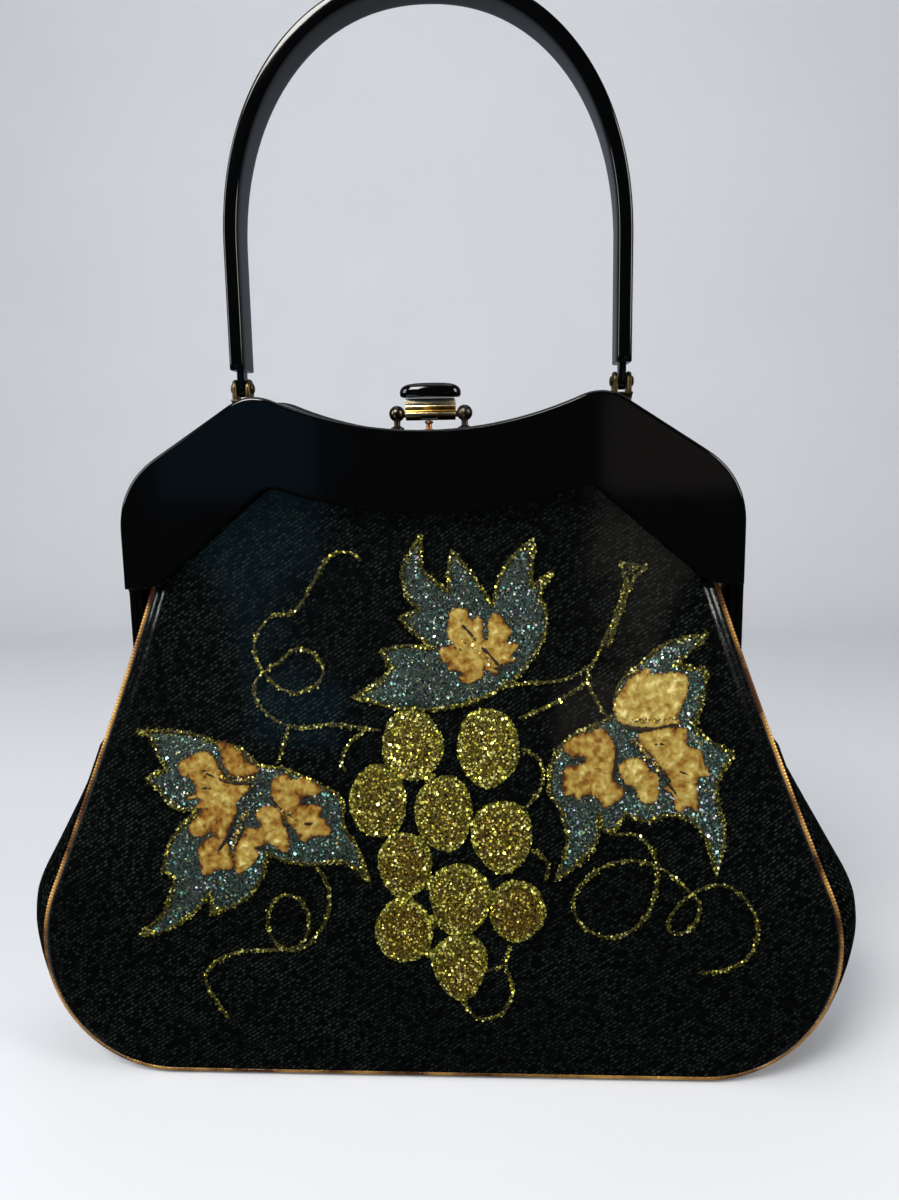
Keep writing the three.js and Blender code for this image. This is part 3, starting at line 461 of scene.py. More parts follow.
for name, points in LEAF_OUTLINES.items():
    bm = filled_shape(smooth_line(points, closed=True), GROUND_LIFT)
    places, normals = strew(bm, LEAF_PER_MM2)
    lay_on_panel(bm)
    ground = finish_piece(name + "_ground", bm, leaf_glue)
    thicken(ground, GROUND_THICK)
    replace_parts(ground, name)
    count = len(places)
    chance = SPARKLE + SPARKLE_MORE * lumps(places[:, :2], SPARKLE_PATCH)
    sparkle = rng.random(count) < np.clip(chance, *SPARKLE_LIMITS)
    tints = np.where(sparkle[:, None], pick_tints(count, SPARKLE_TINTS), pick_tints(count, LEAF_TINTS))
    tints = np.minimum(1, LEAF_SHINE[name] * tints)
    glitter(name + "_glitter", places, normals, tints, LEAF_FLAKE, LEAF_TILT, leaf_flakes)

# --- Velvet leaves --------------------------------------------------------------------------
# Ten small leaves of tan velvet, cut with toothed edges and pressed hot into creases and ridges,
# are glued in groups on the glitter leaves. Dark stitched veins and a little amber glitter run over them.

VELVET_LIFT, VELVET_THICK = 1.3, 0.3
VELVET_STEP, VELVET_GRID, VELVET_ROUNDS = 0.3, 0.6, 7  # how finely its edge and its face are drawn
TOOTH, TOOTH_STEP, TOOTH_DRIFT, TOOTH_PATCH = 0.55, 2.4, 6, 2.5
CREASE_HIGH, CREASE_IN = 0.5, 6
RIDGE, RIDGE_HIGH, RIDGE_LOW, CROWN_HIGH, CROWN_RIM, LUMP = 4, 0.4, -0.4, 0.45, 2.2, 2.2
# How pale the velvet is drawn: a base, darker towards its cut edge, random lumps, and painted highlight on
# raised ridges and creases with painted shade in the low ones.
PALE, PALE_RIM, RIDGE_PAINTED_LIGHT, PALE_LUMP, CREASE_PAINTED_LIGHT = 0.13, 0.18, 0.08, 0.2, 0.24

VELVET_LEAVES = {  # how pale it is, and its outline
    "velvet_top": (-0.02, [
        (8, 177), (13, 177), (15.5, 173), (17.5, 174.7), (19.3, 172), (19.3, 168.5), (20, 166), (21, 168),
        (20.8, 171.5), (22, 174.3), (24.2, 175.7), (28.5, 171), (29.7, 168.5), (28.3, 165.5), (32, 164.3),
        (31.2, 162), (29.6, 160.3), (31.5, 159.2), (28, 157.5), (25, 156.5), (24, 153.3), (19.8, 155.4),
        (19.4, 153), (16.3, 151.2), (13.5, 150.5), (10.3, 152.6), (11.8, 154.3), (6.2, 155.6),
        (6.5, 157.3), (4.5, 158.6), (3.3, 162.9), (8.2, 164.4), (6.4, 167), (6.6, 172.7)]),
    "velvet_left_main": (-0.06, [
        (-94.2, 121), (-89.5, 124), (-84.4, 126), (-80.8, 124.4), (-78.5, 120.5), (-75, 115.7),
        (-67.2, 114.2), (-67.2, 111.8), (-70.6, 108.8), (-72.8, 105.5), (-78.4, 105.4), (-87.7, 104.8),
        (-86.3, 108.1), (-90.7, 108.2), (-87.5, 111), (-90, 115.8), (-93, 116.7)]),
    "velvet_left_lower": (-0.11, [
        (-86.3, 103.5), (-82.3, 106), (-76.7, 107.5), (-71.7, 105.6), (-72.3, 102.3), (-74.4, 97.7),
        (-75.3, 94.6), (-74.6, 89.2), (-73.4, 83.2), (-79, 82), (-85.1, 80), (-86.7, 85.5), (-87.2, 90),
        (-85, 92.7), (-81.4, 95.8), (-85.4, 94), (-90.3, 96.3)]),
    "velvet_left_middle": (-0.03, [
        (-65, 103), (-61.8, 106.3), (-58.2, 106.4), (-55.5, 104.6), (-54.5, 100.6), (-52.5, 95.7),
        (-53.3, 89.7), (-57.1, 90.7), (-60.4, 92.6), (-63.6, 90), (-64.4, 86.7), (-67.8, 83.3),
        (-71.8, 80.7), (-73.4, 83.7), (-72.6, 91), (-70.3, 95), (-68.3, 98.4), (-64.7, 98), (-62.7, 99.3)]),
    "velvet_left_end": (-0.08, [
        (-59.2, 112.8), (-57.2, 117), (-52.8, 118.2), (-51.2, 116.5), (-47, 117.2), (-39.3, 113),
        (-40.7, 111.2), (-47.8, 108.3), (-42, 107.4), (-40, 106), (-40.4, 103), (-38.5, 101.3),
        (-37, 96.5), (-42.8, 95.3), (-47.8, 93.6), (-50, 97.7), (-53.6, 101), (-56.8, 106.4)]),
    "velvet_left_upper": (-0.17, [
        (-78.8, 129.4), (-74.6, 129), (-70, 126.3), (-68.2, 123.3), (-64, 120.7), (-63.8, 118.5),
        (-68.3, 116.8), (-73.8, 117), (-77, 120.7), (-78, 125.2)]),
    "velvet_right_top": (0.07, [
        (75.6, 154.2), (78.7, 155.4), (79.7, 153.5), (92.3, 152.8), (92.8, 146.3), (91.5, 142.8),
        (89.5, 138.4), (89.8, 134.8), (83, 134), (75.5, 134.5), (69, 135.9), (66.4, 138.6), (66.1, 144),
        (68.6, 147), (71.6, 151.4)]),
    "velvet_right_near": (-0.08, [
        (47.7, 128.3), (50.2, 130.7), (54, 133), (58.6, 134), (62.3, 134.4), (64.6, 131.7), (66.4, 128.7),
        (66.9, 124.3), (66, 119.4), (66.4, 116), (69.6, 111.3), (63, 106), (60.8, 108.2), (59, 110),
        (56, 110.7), (53, 109), (50.6, 110.7), (47.8, 110.8), (47.4, 116.7), (48.3, 120.5), (55.5, 123.3),
        (50.2, 124.6)]),
    "velvet_right_middle": (0.03, [
        (67.4, 120.5), (69.3, 122.8), (73.4, 124), (77, 122.7), (79.3, 119), (81.8, 117.3), (82.2, 113.4),
        (81, 108), (77, 107.2), (74.4, 109.8), (73.6, 113), (70.3, 114.3)]),
    "velvet_right_far": (-0.01, [
        (74.6, 131.2), (79.4, 133.6), (92, 134), (92.7, 131), (92.7, 128), (97.3, 125.7), (98.6, 121.5),
        (100.4, 116.7), (96.6, 115.7), (96.3, 109.8), (95.6, 104.2), (92.5, 105.8), (90.5, 104),
        (88, 104.7), (87, 110), (84, 112.5), (86.4, 114.8), (82.9, 119.6), (79.3, 124.4)]),
}


def pinked(outline):
    """Cuts small uneven teeth into a closed outline, and says how far out each point of a tooth is."""
    line = np.array(outline)
    steps = np.linalg.norm(line - np.roll(line, 1, axis=0), axis=1)
    ahead = unit(np.roll(line, -1, axis=0) - np.roll(line, 1, axis=0))
    out = np.stack([ahead[:, 1], -ahead[:, 0]], axis=1)
    turn = math.tau * np.cumsum(steps) / TOOTH_STEP + 3 * lumps(line, TOOTH_DRIFT)
    teeth = np.cos(turn) * (0.8 + 0.7 * lumps(line, TOOTH_PATCH))
    return line + TOOTH * teeth[:, None] * out, teeth


def press_leaf(bm, outline, teeth, pale):
    """Presses a crease in from each tooth, and crumpled ridges, and keeps how pale each spot is, with painted
    highlight where ridges and creases rise and painted shade where they sink.
    """
    spots = np.array([vert.co.xy for vert in bm.verts])
    gaps = np.linalg.norm(spots[:, None] - outline[None], axis=2)
    from_edge = gaps.min(axis=1)
    creases = teeth[gaps.argmin(axis=1)] * np.exp(-from_edge / CREASE_IN)
    rim = np.clip(from_edge / CROWN_RIM, 0, 1)
    ridges = np.maximum(RIDGE_LOW, 1 - 4 * np.abs(lumps(spots, RIDGE)))
    heights = CROWN_HIGH * np.sqrt(rim) + (RIDGE_HIGH * ridges + CREASE_HIGH * creases) * (0.4 + 0.6 * rim)
    tones_with_painted_light = (pale + PALE + PALE_RIM * rim + RIDGE_PAINTED_LIGHT * ridges + PALE_LUMP * lumps(spots, LUMP)
              + CREASE_PAINTED_LIGHT * creases)
    # The "rise" layer holds each spot's tone with its painted highlight and painted shade.
    tone_layer = bm.verts.layers.float.new("rise")
    for vert, height, depth in zip(bm.verts, heights, tones_with_painted_light):
        vert.co.z += height
        vert[tone_layer] = depth


def mottle(tree, scale, detail, **more):
    """Noise on the piece's own coordinates."""
    place = node(tree, "TexCoord", {})
    sockets = {"Vector": place.outputs["Object"], "Scale": scale, "Detail": detail, **more}
    return node(tree, "TexNoise", sockets)


def colour_bands(tree, shader, value, bands):
    """Colours a finish by a value, through bands of a spot and its colour."""
    ramp = node(tree, "ValToRGB", {"Fac": value})
    for spot, colour in bands:
        ramp.color_ramp.elements.new(spot).color = (*colour, 1)
    for spare in (0, -1):
        ramp.color_ramp.elements.remove(ramp.color_ramp.elements[spare])
    tree.links.new(ramp.outputs[0], shader.inputs["Base Color"])


velvet, tree, shader = new_material("tan_velvet", {"Roughness": 0.95, "Specular IOR Level": 0.08,
                                                   "Sheen Weight": 0.06, "Sheen Roughness": 0.5})
# The rise attribute carries each spot's tone with its painted highlight and painted shade; with a fine fuzz
# it runs through bands from dark brown to cream.
rise = node(tree, "Attribute", {}, attribute_name="rise")
fuzz = mottle(tree, 420, 6, Roughness=0.7)
shade = node(tree, "Math", {0: fuzz.outputs["Fac"], 1: 0.5, 2: rise.outputs["Fac"]}, operation="MULTIPLY_ADD")
colour_bands(tree, shader, shade.outputs[0], (
    (0.32, (0.05, 0.018, 0.003)), (0.46, (0.18, 0.080, 0.011)), (0.6, (0.25, 0.16, 0.031)),
    (0.76, (0.35, 0.27, 0.072)), (0.94, (0.60, 0.51, 0.21))))
nap = mottle(tree, 2600, 2)
emboss(tree, shader, nap.outputs["Fac"], 0.35, 0.2)

for name, (pale, points) in VELVET_LEAVES.items():
    outline, teeth = pinked(smooth_line(points, closed=True, step=VELVET_STEP))
    bm = filled_shape(outline, VELVET_LIFT, longest=VELVET_GRID, rounds=VELVET_ROUNDS)
    flat_area = sum(face.calc_area() for face in bm.faces) * MM * MM
    press_leaf(bm, outline, teeth, pale)
    lay_on_panel(bm)
    leaf = finish_piece(name + "_leaf", bm, velvet, sharp=60)
    thicken(leaf, VELVET_THICK)
    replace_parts(leaf, name)

VEIN_R, VEIN_FLAT, VEIN_RISE, VEIN_UNEVEN = 0.5, 0.35, 0.75, 0.6
VEINS = (
    [(11.8, 171.5), (14.5, 168.7), (16.6, 165.9)], [(18.7, 163.5), (21.1, 161.4), (24.9, 157)],
    [(8.8, 163.6), (12.1, 162.4)], [(22.8, 156), (27, 156.2)],
    [(-84.5, 119.1), (-79.4, 116.6), (-75, 114.9), (-66.6, 114.8)], [(-85.1, 112.4), (-81.1, 112.6)],
    [(-71.8, 102.9), (-75.3, 95.2), (-79.9, 87.9)], [(-59.5, 110.1), (-55.2, 105.9), (-48.7, 101.2)],
    [(-48, 108.1), (-42.6, 109.9)], [(-47.1, 100.4), (-42.2, 100.5)],
    [(-70.1, 106.1), (-66.1, 112.7), (-61.1, 116.5)],
    [(-65.4, 91.1), (-62.1, 91.2)], [(69.3, 135.1), (77, 133.8), (84.2, 134.8), (89, 135.3)],
    [(71.6, 131), (78.1, 123.8), (82.8, 117.8), (88.8, 110)], [(66.9, 128.7), (66.5, 122.3), (65.5, 116.4)],
    [(89.4, 118.8), (92.4, 117.6)], [(50.1, 124), (55.5, 123.3)], [(69.7, 114.6), (72.1, 112.8)],
    [(80.6, 128.5), (84.2, 128.7)], [(82.2, 113.7), (85.2, 111.3)],
)


def swept(line, radii, roundness):
    """A round bar along a line, with a radius at each of its points."""
    curve = bpy.data.curves.new("bar", "CURVE")
    curve.dimensions, curve.bevel_depth, curve.bevel_resolution = "3D", 1, roundness
    curve.use_fill_caps = True
    spline = curve.splines.new("POLY")
    spline.points.add(len(line) - 1)
    for point, place, radius in zip(spline.points, line, radii):
        point.co, point.radius = (*place, 1), radius
    holder = bpy.data.objects.new("bar", curve)
    mesh = bpy.data.meshes.new_from_object(holder)
    bm = bmesh.new()
    bm.from_mesh(mesh)
    bpy.data.objects.remove(holder)
    bpy.data.curves.remove(curve)
    bpy.data.meshes.remove(mesh)
    return bm


def gather(*parts):
    """Joins meshes into one."""
    whole = bmesh.new()
    for part in parts:
        mesh = bpy.data.meshes.new("part")
        part.to_mesh(mesh)
        part.free()
        whole.from_mesh(mesh)
        bpy.data.meshes.remove(mesh)
    return whole


def bead(runs, radius, height, flatness, uneven=0.0):
    """Round beads along smooth lines of the drawing, pressed flat, as one mesh."""
    bars = []
    for run in runs:
        line = [(x, z, 0) for x, z in smooth_line(run)]
        radii = np.array([radius * (1 + uneven * rng.uniform(-1, 1)) for _ in line])
        radii[[0, -1]] *= 0.5
        bars.append(swept(line, radii, 2))
    whole = gather(*bars)
    bmesh.ops.scale(whole, verts=whole.verts, vec=(1, 1, flatness))
    bmesh.ops.translate(whole, verts=whole.verts, vec=(0, 0, height))
    bmesh.ops.recalc_face_normals(whole, faces=whole.faces)
    return whole


stitching, tree, shader = new_material("vein_stitching", {"Roughness": 0.75, "Specular IOR Level": 0.3})
stitches = mottle(tree, 900, 2)
dye(tree, shader, stitches.outputs["Fac"], (0.004, 0.003, 0.002), (0.022, 0.011, 0.004))
emboss(tree, shader, stitches.outputs["Fac"], 0.6, 0.2)

bm = bead(VEINS, VEIN_R, VELVET_LIFT + VEIN_RISE, VEIN_FLAT, VEIN_UNEVEN)
lay_on_panel(bm)
finish_piece("velvet_veins", bm, stitching)

AMBER_LINES = (
    [(-77.2, 117.2), (-69.4, 115.8), (-64.4, 117)], [(-67.3, 105.1), (-70.7, 99.1), (-73.1, 92), (-73.3, 87)],
    [(-55.2, 105.9), (-49.8, 102.8)], [(69.9, 138), (77.1, 137), (84.3, 137.1), (89.1, 138.2)],
    [(11.4, 166.4), (14, 164.6), (16.5, 163)], [(16.5, 162), (20, 159.5), (22, 157)],
    [(72.5, 130.5), (79, 123.3), (84, 117.5)],
)
AMBER_TINTS = (
    (40, (0.30, 0.17, 0.025)), (30, (0.52, 0.36, 0.06)), (20, (0.12, 0.06, 0.01)), (10, (0.95, 0.85, 0.4)),
)
AMBER_R, AMBER_RISE, AMBER_FLAT, AMBER_PER_MM2, AMBER_FLAKE, AMBER_TILT = 0.9, 0.5, 0.5, 2.4, 0.36, 0.45
gold_flakes = flake_material("gold_flakes", 0.22)
bm = bead(AMBER_LINES, AMBER_R, VELVET_LIFT + AMBER_RISE, AMBER_FLAT)
places, normals = strew(bm, AMBER_PER_MM2)
bm.free()
glitter("velvet_glitter", places, normals, pick_tints(len(places), AMBER_TINTS), AMBER_FLAKE, AMBER_TILT,
        gold_flakes)

# --- Grapes ---------------------------------------------------------------------------------
# Ten grapes are thick drops of glue under coarse gold glitter, bronze in the middle, with a
# bead of yellow glitter round each rim. They touch, with dark gaps left between them.

GRAPE_LIFT, GRAPE_SHELL, GRAPE_GRID = 0.4, 0.3, (64, 14)
GRAPE_PER_MM2, GRAPE_FLAKE, GRAPE_TILT = 4.2, 0.37, 0.5
GRAPE_PROFILE = ((0, 0.6, 0.8, 0.9, 0.97, 1), (1.35, 1.1, 0.95, 1.25, 0.9, 0))  # height across the radius
GRAPES = (  # centre x and z, half width, half height, how brown it is, and how much it narrows below
    (-6.8, 128.7, 11.2, 12.8, 0.2, -0.06), (20.8, 127.3, 11.2, 14.2, 0.1, 0.12),
    (-19.4, 108.1, 10.5, 13.4, 0.3, 0.06), (4.6, 103.8, 10.5, 13.8, 0.2, 0.08),
    (25.6, 95.5, 11, 13.4, 0.5, 0.08), (-9.9, 85, 9.9, 12.2, 0.7, 0), (10.1, 71.7, 11.3, 13.9, 0.3, 0.1),
    (30.8, 67.4, 10.2, 11.9, 0.9, 0.12), (-10.7, 59.8, 10.6, 12.6, 0.7, 0), (9.7, 45.4, 9.9, 13.2, 0.5, 0.3),
)
RIM_FROM, RIM_STRAY = 0.84, 0.03  # where the yellow rim starts, across the radius


def round_grid(spokes, rings):
    """A flat disc of radius 1, made of rings and spokes."""
    bm = bmesh.new()
    bmesh.ops.create_grid(bm, x_segments=spokes, y_segments=rings, size=0.5)
    reshape(bm, lambda u, v, _: ((v + 0.5) * np.cos(math.tau * u), -(v + 0.5) * np.sin(math.tau * u), 0 * u))
    bmesh.ops.remove_doubles(bm, verts=bm.verts, dist=0.0001)
    return bm


gold_glue = glue_material("gold_glue", (0.008, 0.006, 0.001), (0.12, 0.095, 0.012), 1.5)
BRONZE_TINTS = ((32, (0.15, 0.11, 0.009)), (26, (0.32, 0.27, 0.020)), (24, (0.018, 0.013, 0.002)),
                (10, (0.78, 0.70, 0.09)), (8, (1.0, 0.97, 0.30)))
BROWN_TINTS = ((39, (0.17, 0.09, 0.006)), (26, (0.29, 0.18, 0.013)), (24, (0.020, 0.012, 0.002)),
               (7, (0.68, 0.52, 0.08)), (4, (1.0, 0.92, 0.30)))
YELLOW_TINTS = ((30, (0.22, 0.20, 0.015)), (26, (0.44, 0.41, 0.038)), (24, (0.026, 0.022, 0.003)),
                (12, (0.85, 0.80, 0.14)), (8, (1.0, 0.98, 0.34)))

grape_places, grape_normals, grape_tints = [], [], []
for k, (x, z, half_wide, half_high, brown, narrow) in enumerate(GRAPES):
    bm = round_grid(*GRAPE_GRID)

    def drop(u, v, _):
        out, angle = np.hypot(u, v), np.arctan2(v, u)
        sway = 1 + 0.025 * np.cos(3 * angle + k) + 0.015 * np.cos(5 * angle + 2 * k)
        return u * sway * half_wide * (1 + narrow * v), v * sway * half_high, np.interp(out, *GRAPE_PROFILE)

    reshape(bm, drop)
    bmesh.ops.translate(bm, verts=bm.verts, vec=(x, z, GRAPE_LIFT))
    places, normals = strew(bm, GRAPE_PER_MM2)
    count = len(places)
    out = np.hypot((places[:, 0] - x) / half_wide, (places[:, 1] - z) / half_high)
    is_brown = rng.random((count, 1)) < brown
    tints = np.where(is_brown, pick_tints(count, BROWN_TINTS), pick_tints(count, BRONZE_TINTS))
    rim = out[:, None] + rng.normal(0, RIM_STRAY, (count, 1)) > RIM_FROM
    grape_tints.append(np.where(rim, pick_tints(count, YELLOW_TINTS), tints))
    grape_places.append(places)
    grape_normals.append(normals)
    lay_on_panel(bm)
    grape = finish_piece(f"grape_{k + 1}_drop", bm, gold_glue, sharp=70)
    thicken(grape, GRAPE_SHELL)
    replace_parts(grape, f"grape_{k + 1}")

glitter("grape_glitter", np.concatenate(grape_places), np.concatenate(grape_normals),
        np.concatenate(grape_tints), GRAPE_FLAKE, GRAPE_TILT, gold_flakes)

# --- Stem, tendrils and outlines --------------------------------------------------------------
# A fine bead of glue with yellow gold glitter draws the stem and the curling tendrils, and edges
# each big leaf. It is squeezed out by hand, so its width wanders.

BEAD_R, EDGING_R, BEAD_FLAT, BEAD_HEIGHT, BEAD_UNEVEN, STRAY = 0.62, 0.78, 0.7, 0.95, 0.4, 0.25
STRAND_PER_MM2, STRAND_FLAKE, STRAND_TILT = 3.4, 0.34, 0.55
STRANDS = {
    "stem": [
        [(69, 193.5), (70.6, 186), (67, 174), (61, 161), (57, 152), (61, 142), (64, 138)],
        [(79, 191.5), (75, 188.5), (72, 183), (69.5, 176), (64, 163)], [(70, 193), (75, 192), (79, 191.5)],
        [(71, 191.6), (75.5, 190.6)], [(71.6, 189.8), (74, 188.8)], [(71.4, 188), (71.6, 182)],
        [(59, 156.5), (48, 151.5), (34, 150.5), (24, 149)], [(57, 151), (46, 144), (32, 138)],
    ],
    "tendril_upper_left": [
        [(-25, 195), (-30, 198), (-37, 196), (-44, 185), (-50, 176.5), (-59, 174.5), (-65, 165), (-62, 155),
         (-52, 147.5), (-42, 150), (-39.5, 157), (-48, 163), (-56, 158), (-64, 152), (-64.5, 145), (-58, 138),
         (-50, 135), (-36, 136), (-18, 134)],
        [(-52, 135.5), (-56, 122)], [(-23, 134.5), (-29, 130), (-32.5, 123), (-31, 119)],
    ],
    "tendril_lower_left": [
        [(-42, 84), (-38, 75), (-39, 65), (-45, 55.5), (-53, 51.5), (-60, 56), (-61, 66), (-55, 73),
        (-48, 70), (-46, 61), (-50, 53.5), (-60, 51.5), (-70, 51), (-80, 47.5), (-86, 41), (-84, 33),
        (-78, 24)],
    ],
    "tendril_lower_right": [
        [(66, 96.5), (75, 95.5), (80.5, 88), (81.5, 78), (77, 65), (67, 58), (56, 61), (51, 70), (55, 79),
        (66, 86), (80, 85), (92, 76), (97, 69), (93, 60.5), (87, 59.5), (86, 65), (93, 73), (103, 77),
        (112, 73), (118, 62), (115, 50), (106, 45), (97, 44)],
    ],
    "tendril_grape_loop": [
        [(28, 55), (26.5, 47), (29, 38), (25, 28), (16, 25.5), (10, 33)], [(26.5, 47), (19, 44)],
    ],
    "tendril_grape_upper": [[(33, 127.5), (39.5, 123), (40, 114), (34, 106)]],
    "tendril_grape_lower": [[(36.6, 91), (42, 86), (41, 79)]],
}
NECK_R, NECK_RISE, NECK_FLAT, NECK_FLAKE = 2.4, 0.4, 0.4, 0.44  # thick glue that joins grapes that touch
NECKS = (
    [(-12, 119.5), (-13.5, 117)], [(-14, 97), (-13, 94)], [(-3, 94.5), (-5.5, 92.5)],
    [(14, 100.5), (16.5, 99)],
    [(-2, 79.5), (1, 77.5)], [(-10, 74), (-10.5, 71)], [(-1.5, 64), (1.5, 63.5)], [(-2.5, 51.5), (0.5, 50.5)],
    [(10, 59.5), (9.8, 56.5)], [(-6, 140.5), (-7, 141.8)], [(-1, 118), (0.5, 116)],
)
for name, points in LEAF_OUTLINES.items():
    STRANDS[name + "_outline"] = [[*points, points[0]]]

STRAND_TINTS = ((38, (0.035, 0.032, 0.004)), (36, (0.25, 0.23, 0.022)), (16, (0.56, 0.52, 0.07)),
                (10, (1.0, 0.96, 0.34)))
strand_glue = glue_material("strand_glue", (0.003, 0.003, 0.001), (0.04, 0.036, 0.006), 1.5)
strand_places, strand_normals = [], []
for name, runs in STRANDS.items():
    bm = bead(runs, EDGING_R if name.endswith("_outline") else BEAD_R, BEAD_HEIGHT, BEAD_FLAT, BEAD_UNEVEN)
    places, normals = strew(bm, STRAND_PER_MM2)
    strand_places.append(places + rng.normal(0, (STRAY, STRAY, 0), places.shape))
    strand_normals.append(normals)
    lay_on_panel(bm)
    strand = finish_piece(name + "_bead", bm, strand_glue, sharp=80)
    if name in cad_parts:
        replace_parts(strand, name)

places = np.concatenate(strand_places)
glitter("strand_glitter", places, np.concatenate(strand_normals), pick_tints(len(places), STRAND_TINTS),
        STRAND_FLAKE, STRAND_TILT, gold_flakes)

bm = bead(NECKS, NECK_R, GRAPE_LIFT + NECK_RISE, NECK_FLAT, BEAD_UNEVEN)
places, normals = strew(bm, STRAND_PER_MM2)
lay_on_panel(bm)
finish_piece("grape_necks", bm, gold_glue, sharp=80)
glitter("neck_glitter", places, normals, pick_tints(len(places), YELLOW_TINTS), NECK_FLAKE, GRAPE_TILT,
        gold_flakes)

# --- Clear vinyl ------------------------------------------------------------------------------
# A sheet of clear vinyl covers each panel and guards the ornament. It is stitched in with the
# piping, lifts clear of the glitter, and has soft folds that fan out from the bottom corners.

VINYL, VINYL_LIFT, VINYL_NEAR, VINYL_SIDE, VINYL_FOOT = 0.5, 2.6, 0.35, 0.05, 15
FOLD_FROM, FOLD_HIGH, FOLDS, FOLD_START, FOLD_REACH = (116, 14), 0.55, 11, 30, 62
VINYL_GRID = 150, 120


def vinyl_folds(x, z):
    """How far the folds that fan out from the two bottom corners lift the vinyl."""
    lift = 0
    for side, phase in ((1, 0.4), (-1, 1.3)):
        dx, dz = FOLD_FROM[0] - side * x, z - FOLD_FROM[1]
        far, turn = np.hypot(dx, dz), np.arctan2(dz, dx)
        fade = np.clip(far / FOLD_START, 0, 1) ** 2 * np.exp(-(far / FOLD_REACH) ** 2)
        lift = lift + FOLD_HIGH * fade * (1 + np.sin(FOLDS * turn + phase))
    return lift


def vinyl_depth(x, z):
    from_side = (1 - np.abs(x) / half_width(z)) / VINYL_SIDE
    free = np.clip(np.minimum(from_side, (z - PANEL_BOTTOM) / VINYL_FOOT), 0, 1)
    free = free * free * (3 - 2 * free)
    return panel_depth(x, z) + VINYL_NEAR + (VINYL_LIFT - VINYL_NEAR + vinyl_folds(x, z)) * free + VINYL


vinyl = bpy.data.materials.new("clear_vinyl")
vinyl.use_nodes = True
tree = vinyl.node_tree
tree.nodes.remove(tree.nodes["Principled BSDF"])
ripple = mottle(tree, 22, 2)
bump = node(tree, "Bump", {"Height": ripple.outputs["Fac"], "Strength": 0.25, "Distance": 2 * MM})
gloss = node(tree, "BsdfGlossy", {"Roughness": 0.1, "Normal": bump.outputs[0]})
clear = node(tree, "BsdfTransparent", {"Color": (0.985, 0.985, 0.98, 1)})
facing = node(tree, "LayerWeight", {"Blend": 0.5, "Normal": bump.outputs[0]})
grazing = node(tree, "Math", {0: facing.outputs["Facing"], 1: 5.0}, operation="POWER")
mirror = node(tree, "Math", {0: grazing.outputs[0], 1: 0.95, 2: 0.034}, operation="MULTIPLY_ADD")
film = node(tree, "MixShader", {0: mirror.outputs[0], 1: clear.outputs[0], 2: gloss.outputs[0]})
tree.links.new(film.outputs[0], tree.nodes["Material Output"].inputs["Surface"])

for name in ("front_vinyl", "back_vinyl"):
    bm, flat_size, flat_area = flat_cloth(*VINYL_GRID, panel_drawing)
    reshape(bm, lambda x, z, _: (x, -vinyl_depth(x, z), z))
    if name == "back_vinyl":
        bmesh.ops.rotate(bm, verts=bm.verts, matrix=TO_BACK)
    sheet = finish_piece(name + "_sheet", bm, vinyl)
    thicken(sheet, VINYL)
    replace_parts(sheet, name)

# --- Piping -----------------------------------------------------------------------------------
# A thin cord covered in metallic gold film is sewn into each seam between panel and gusset. The
# film is wound on, so it has fine ridges across, and its colour goes from dark copper to bright gold in
# random patches.

PIPING_R, PIPING_OUT, PIPING_END, PIPING_RIDGE, PIPING_WAVE = 1.1, 0.9, 0.99, 1.3, 0.2

gold_film, tree, shader = new_material("gold_piping_film", {"Metallic": 0.6})
film_patches = mottle(tree, 45, 5)
film_brightness = node(tree, "MapRange", {"Value": film_patches.outputs["Fac"], "From Min": 0.4, "From Max": 0.66})
dye(tree, shader, film_brightness.outputs[0], (0.10, 0.035, 0.010), (0.90, 0.50, 0.14))
dull = node(tree, "MapRange", {"Value": film_patches.outputs["Fac"], "To Min": 0.36, "To Max": 0.14})
tree.links.new(dull.outputs[0], shader.inputs["Roughness"])

run = np.arange(-edge_run[-1] * PIPING_END, edge_run[-1] * PIPING_END, PIPING_RIDGE / 4)
x, z = edge_at(np.abs(run))
ahead_x, ahead_z = edge_ahead(np.abs(run))
piping_line = np.stack([np.where(run < 0, -1, 1) * (x + ahead_z * PIPING_OUT), -(edge_depth(z) - CLOTH / 2),
                        z - ahead_x * PIPING_OUT], axis=1)
ridge = PIPING_R * (1 - PIPING_WAVE * (0.5 - 0.5 * np.cos(math.tau * run / PIPING_RIDGE)))
for name in ("front_piping", "back_piping"):
    bm = swept(piping_line, ridge, 3)
    bmesh.ops.recalc_face_normals(bm, faces=bm.faces)
    if name == "back_piping":
        bmesh.ops.rotate(bm, verts=bm.verts, matrix=TO_BACK)
    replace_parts(finish_piece(name + "_cord", bm, gold_film, sharp=60), name)

# --- Frame --------------------------------------------------------------------------------------
# Each half of the frame is black acrylic: a polished plate sawn to the dipped outline, glued
# to a wall that runs back to the parting. Arms go down at both ends and hinge at the waist.

FRAME_HALF, FRAME_FRONT, PLATE, PLATE_EDGE = 112.2, 22, 3.2, 1.3
FRAME_STEP, FRAME_WALL, WALL_BITE, WALL_EDGE, PARTING = 0.6, 3.5, 0.6, 0.35, 0.3
DIP_Z, DIP_R = 241.4, 139
SHOULDER, SHOULDER_SLOPE, SHOULDER_ROUND = np.array((91, 237.5)), math.radians(33), 17
OUTER_ROUND, INNER_ROUND = 9, 6
PLATE_END, PLATE_LOW_Z, PLATE_LOW_R = 185.5, 212, 166
PLATE_NOTCH, PLATE_HEEL = np.array((57.3, 222.6)), np.array((100.9, 185.5))
ARM_IN, ARM_OUT, ARM_FRONT, ARM_LOW, ARM_HIGH, ARM_EDGE = 109.4, 114.4, 12, 154, 190, 0.4
LUG_R, LUG_ROOM, LUG_GAP = 5.5, 5.85, 0.35


def rounded(before, corner, after, steps=10):
    t = np.linspace(0, 1, steps)[:, None]
    return list((1 - t) ** 2 * before + 2 * t * (1 - t) * corner + t * t * after)


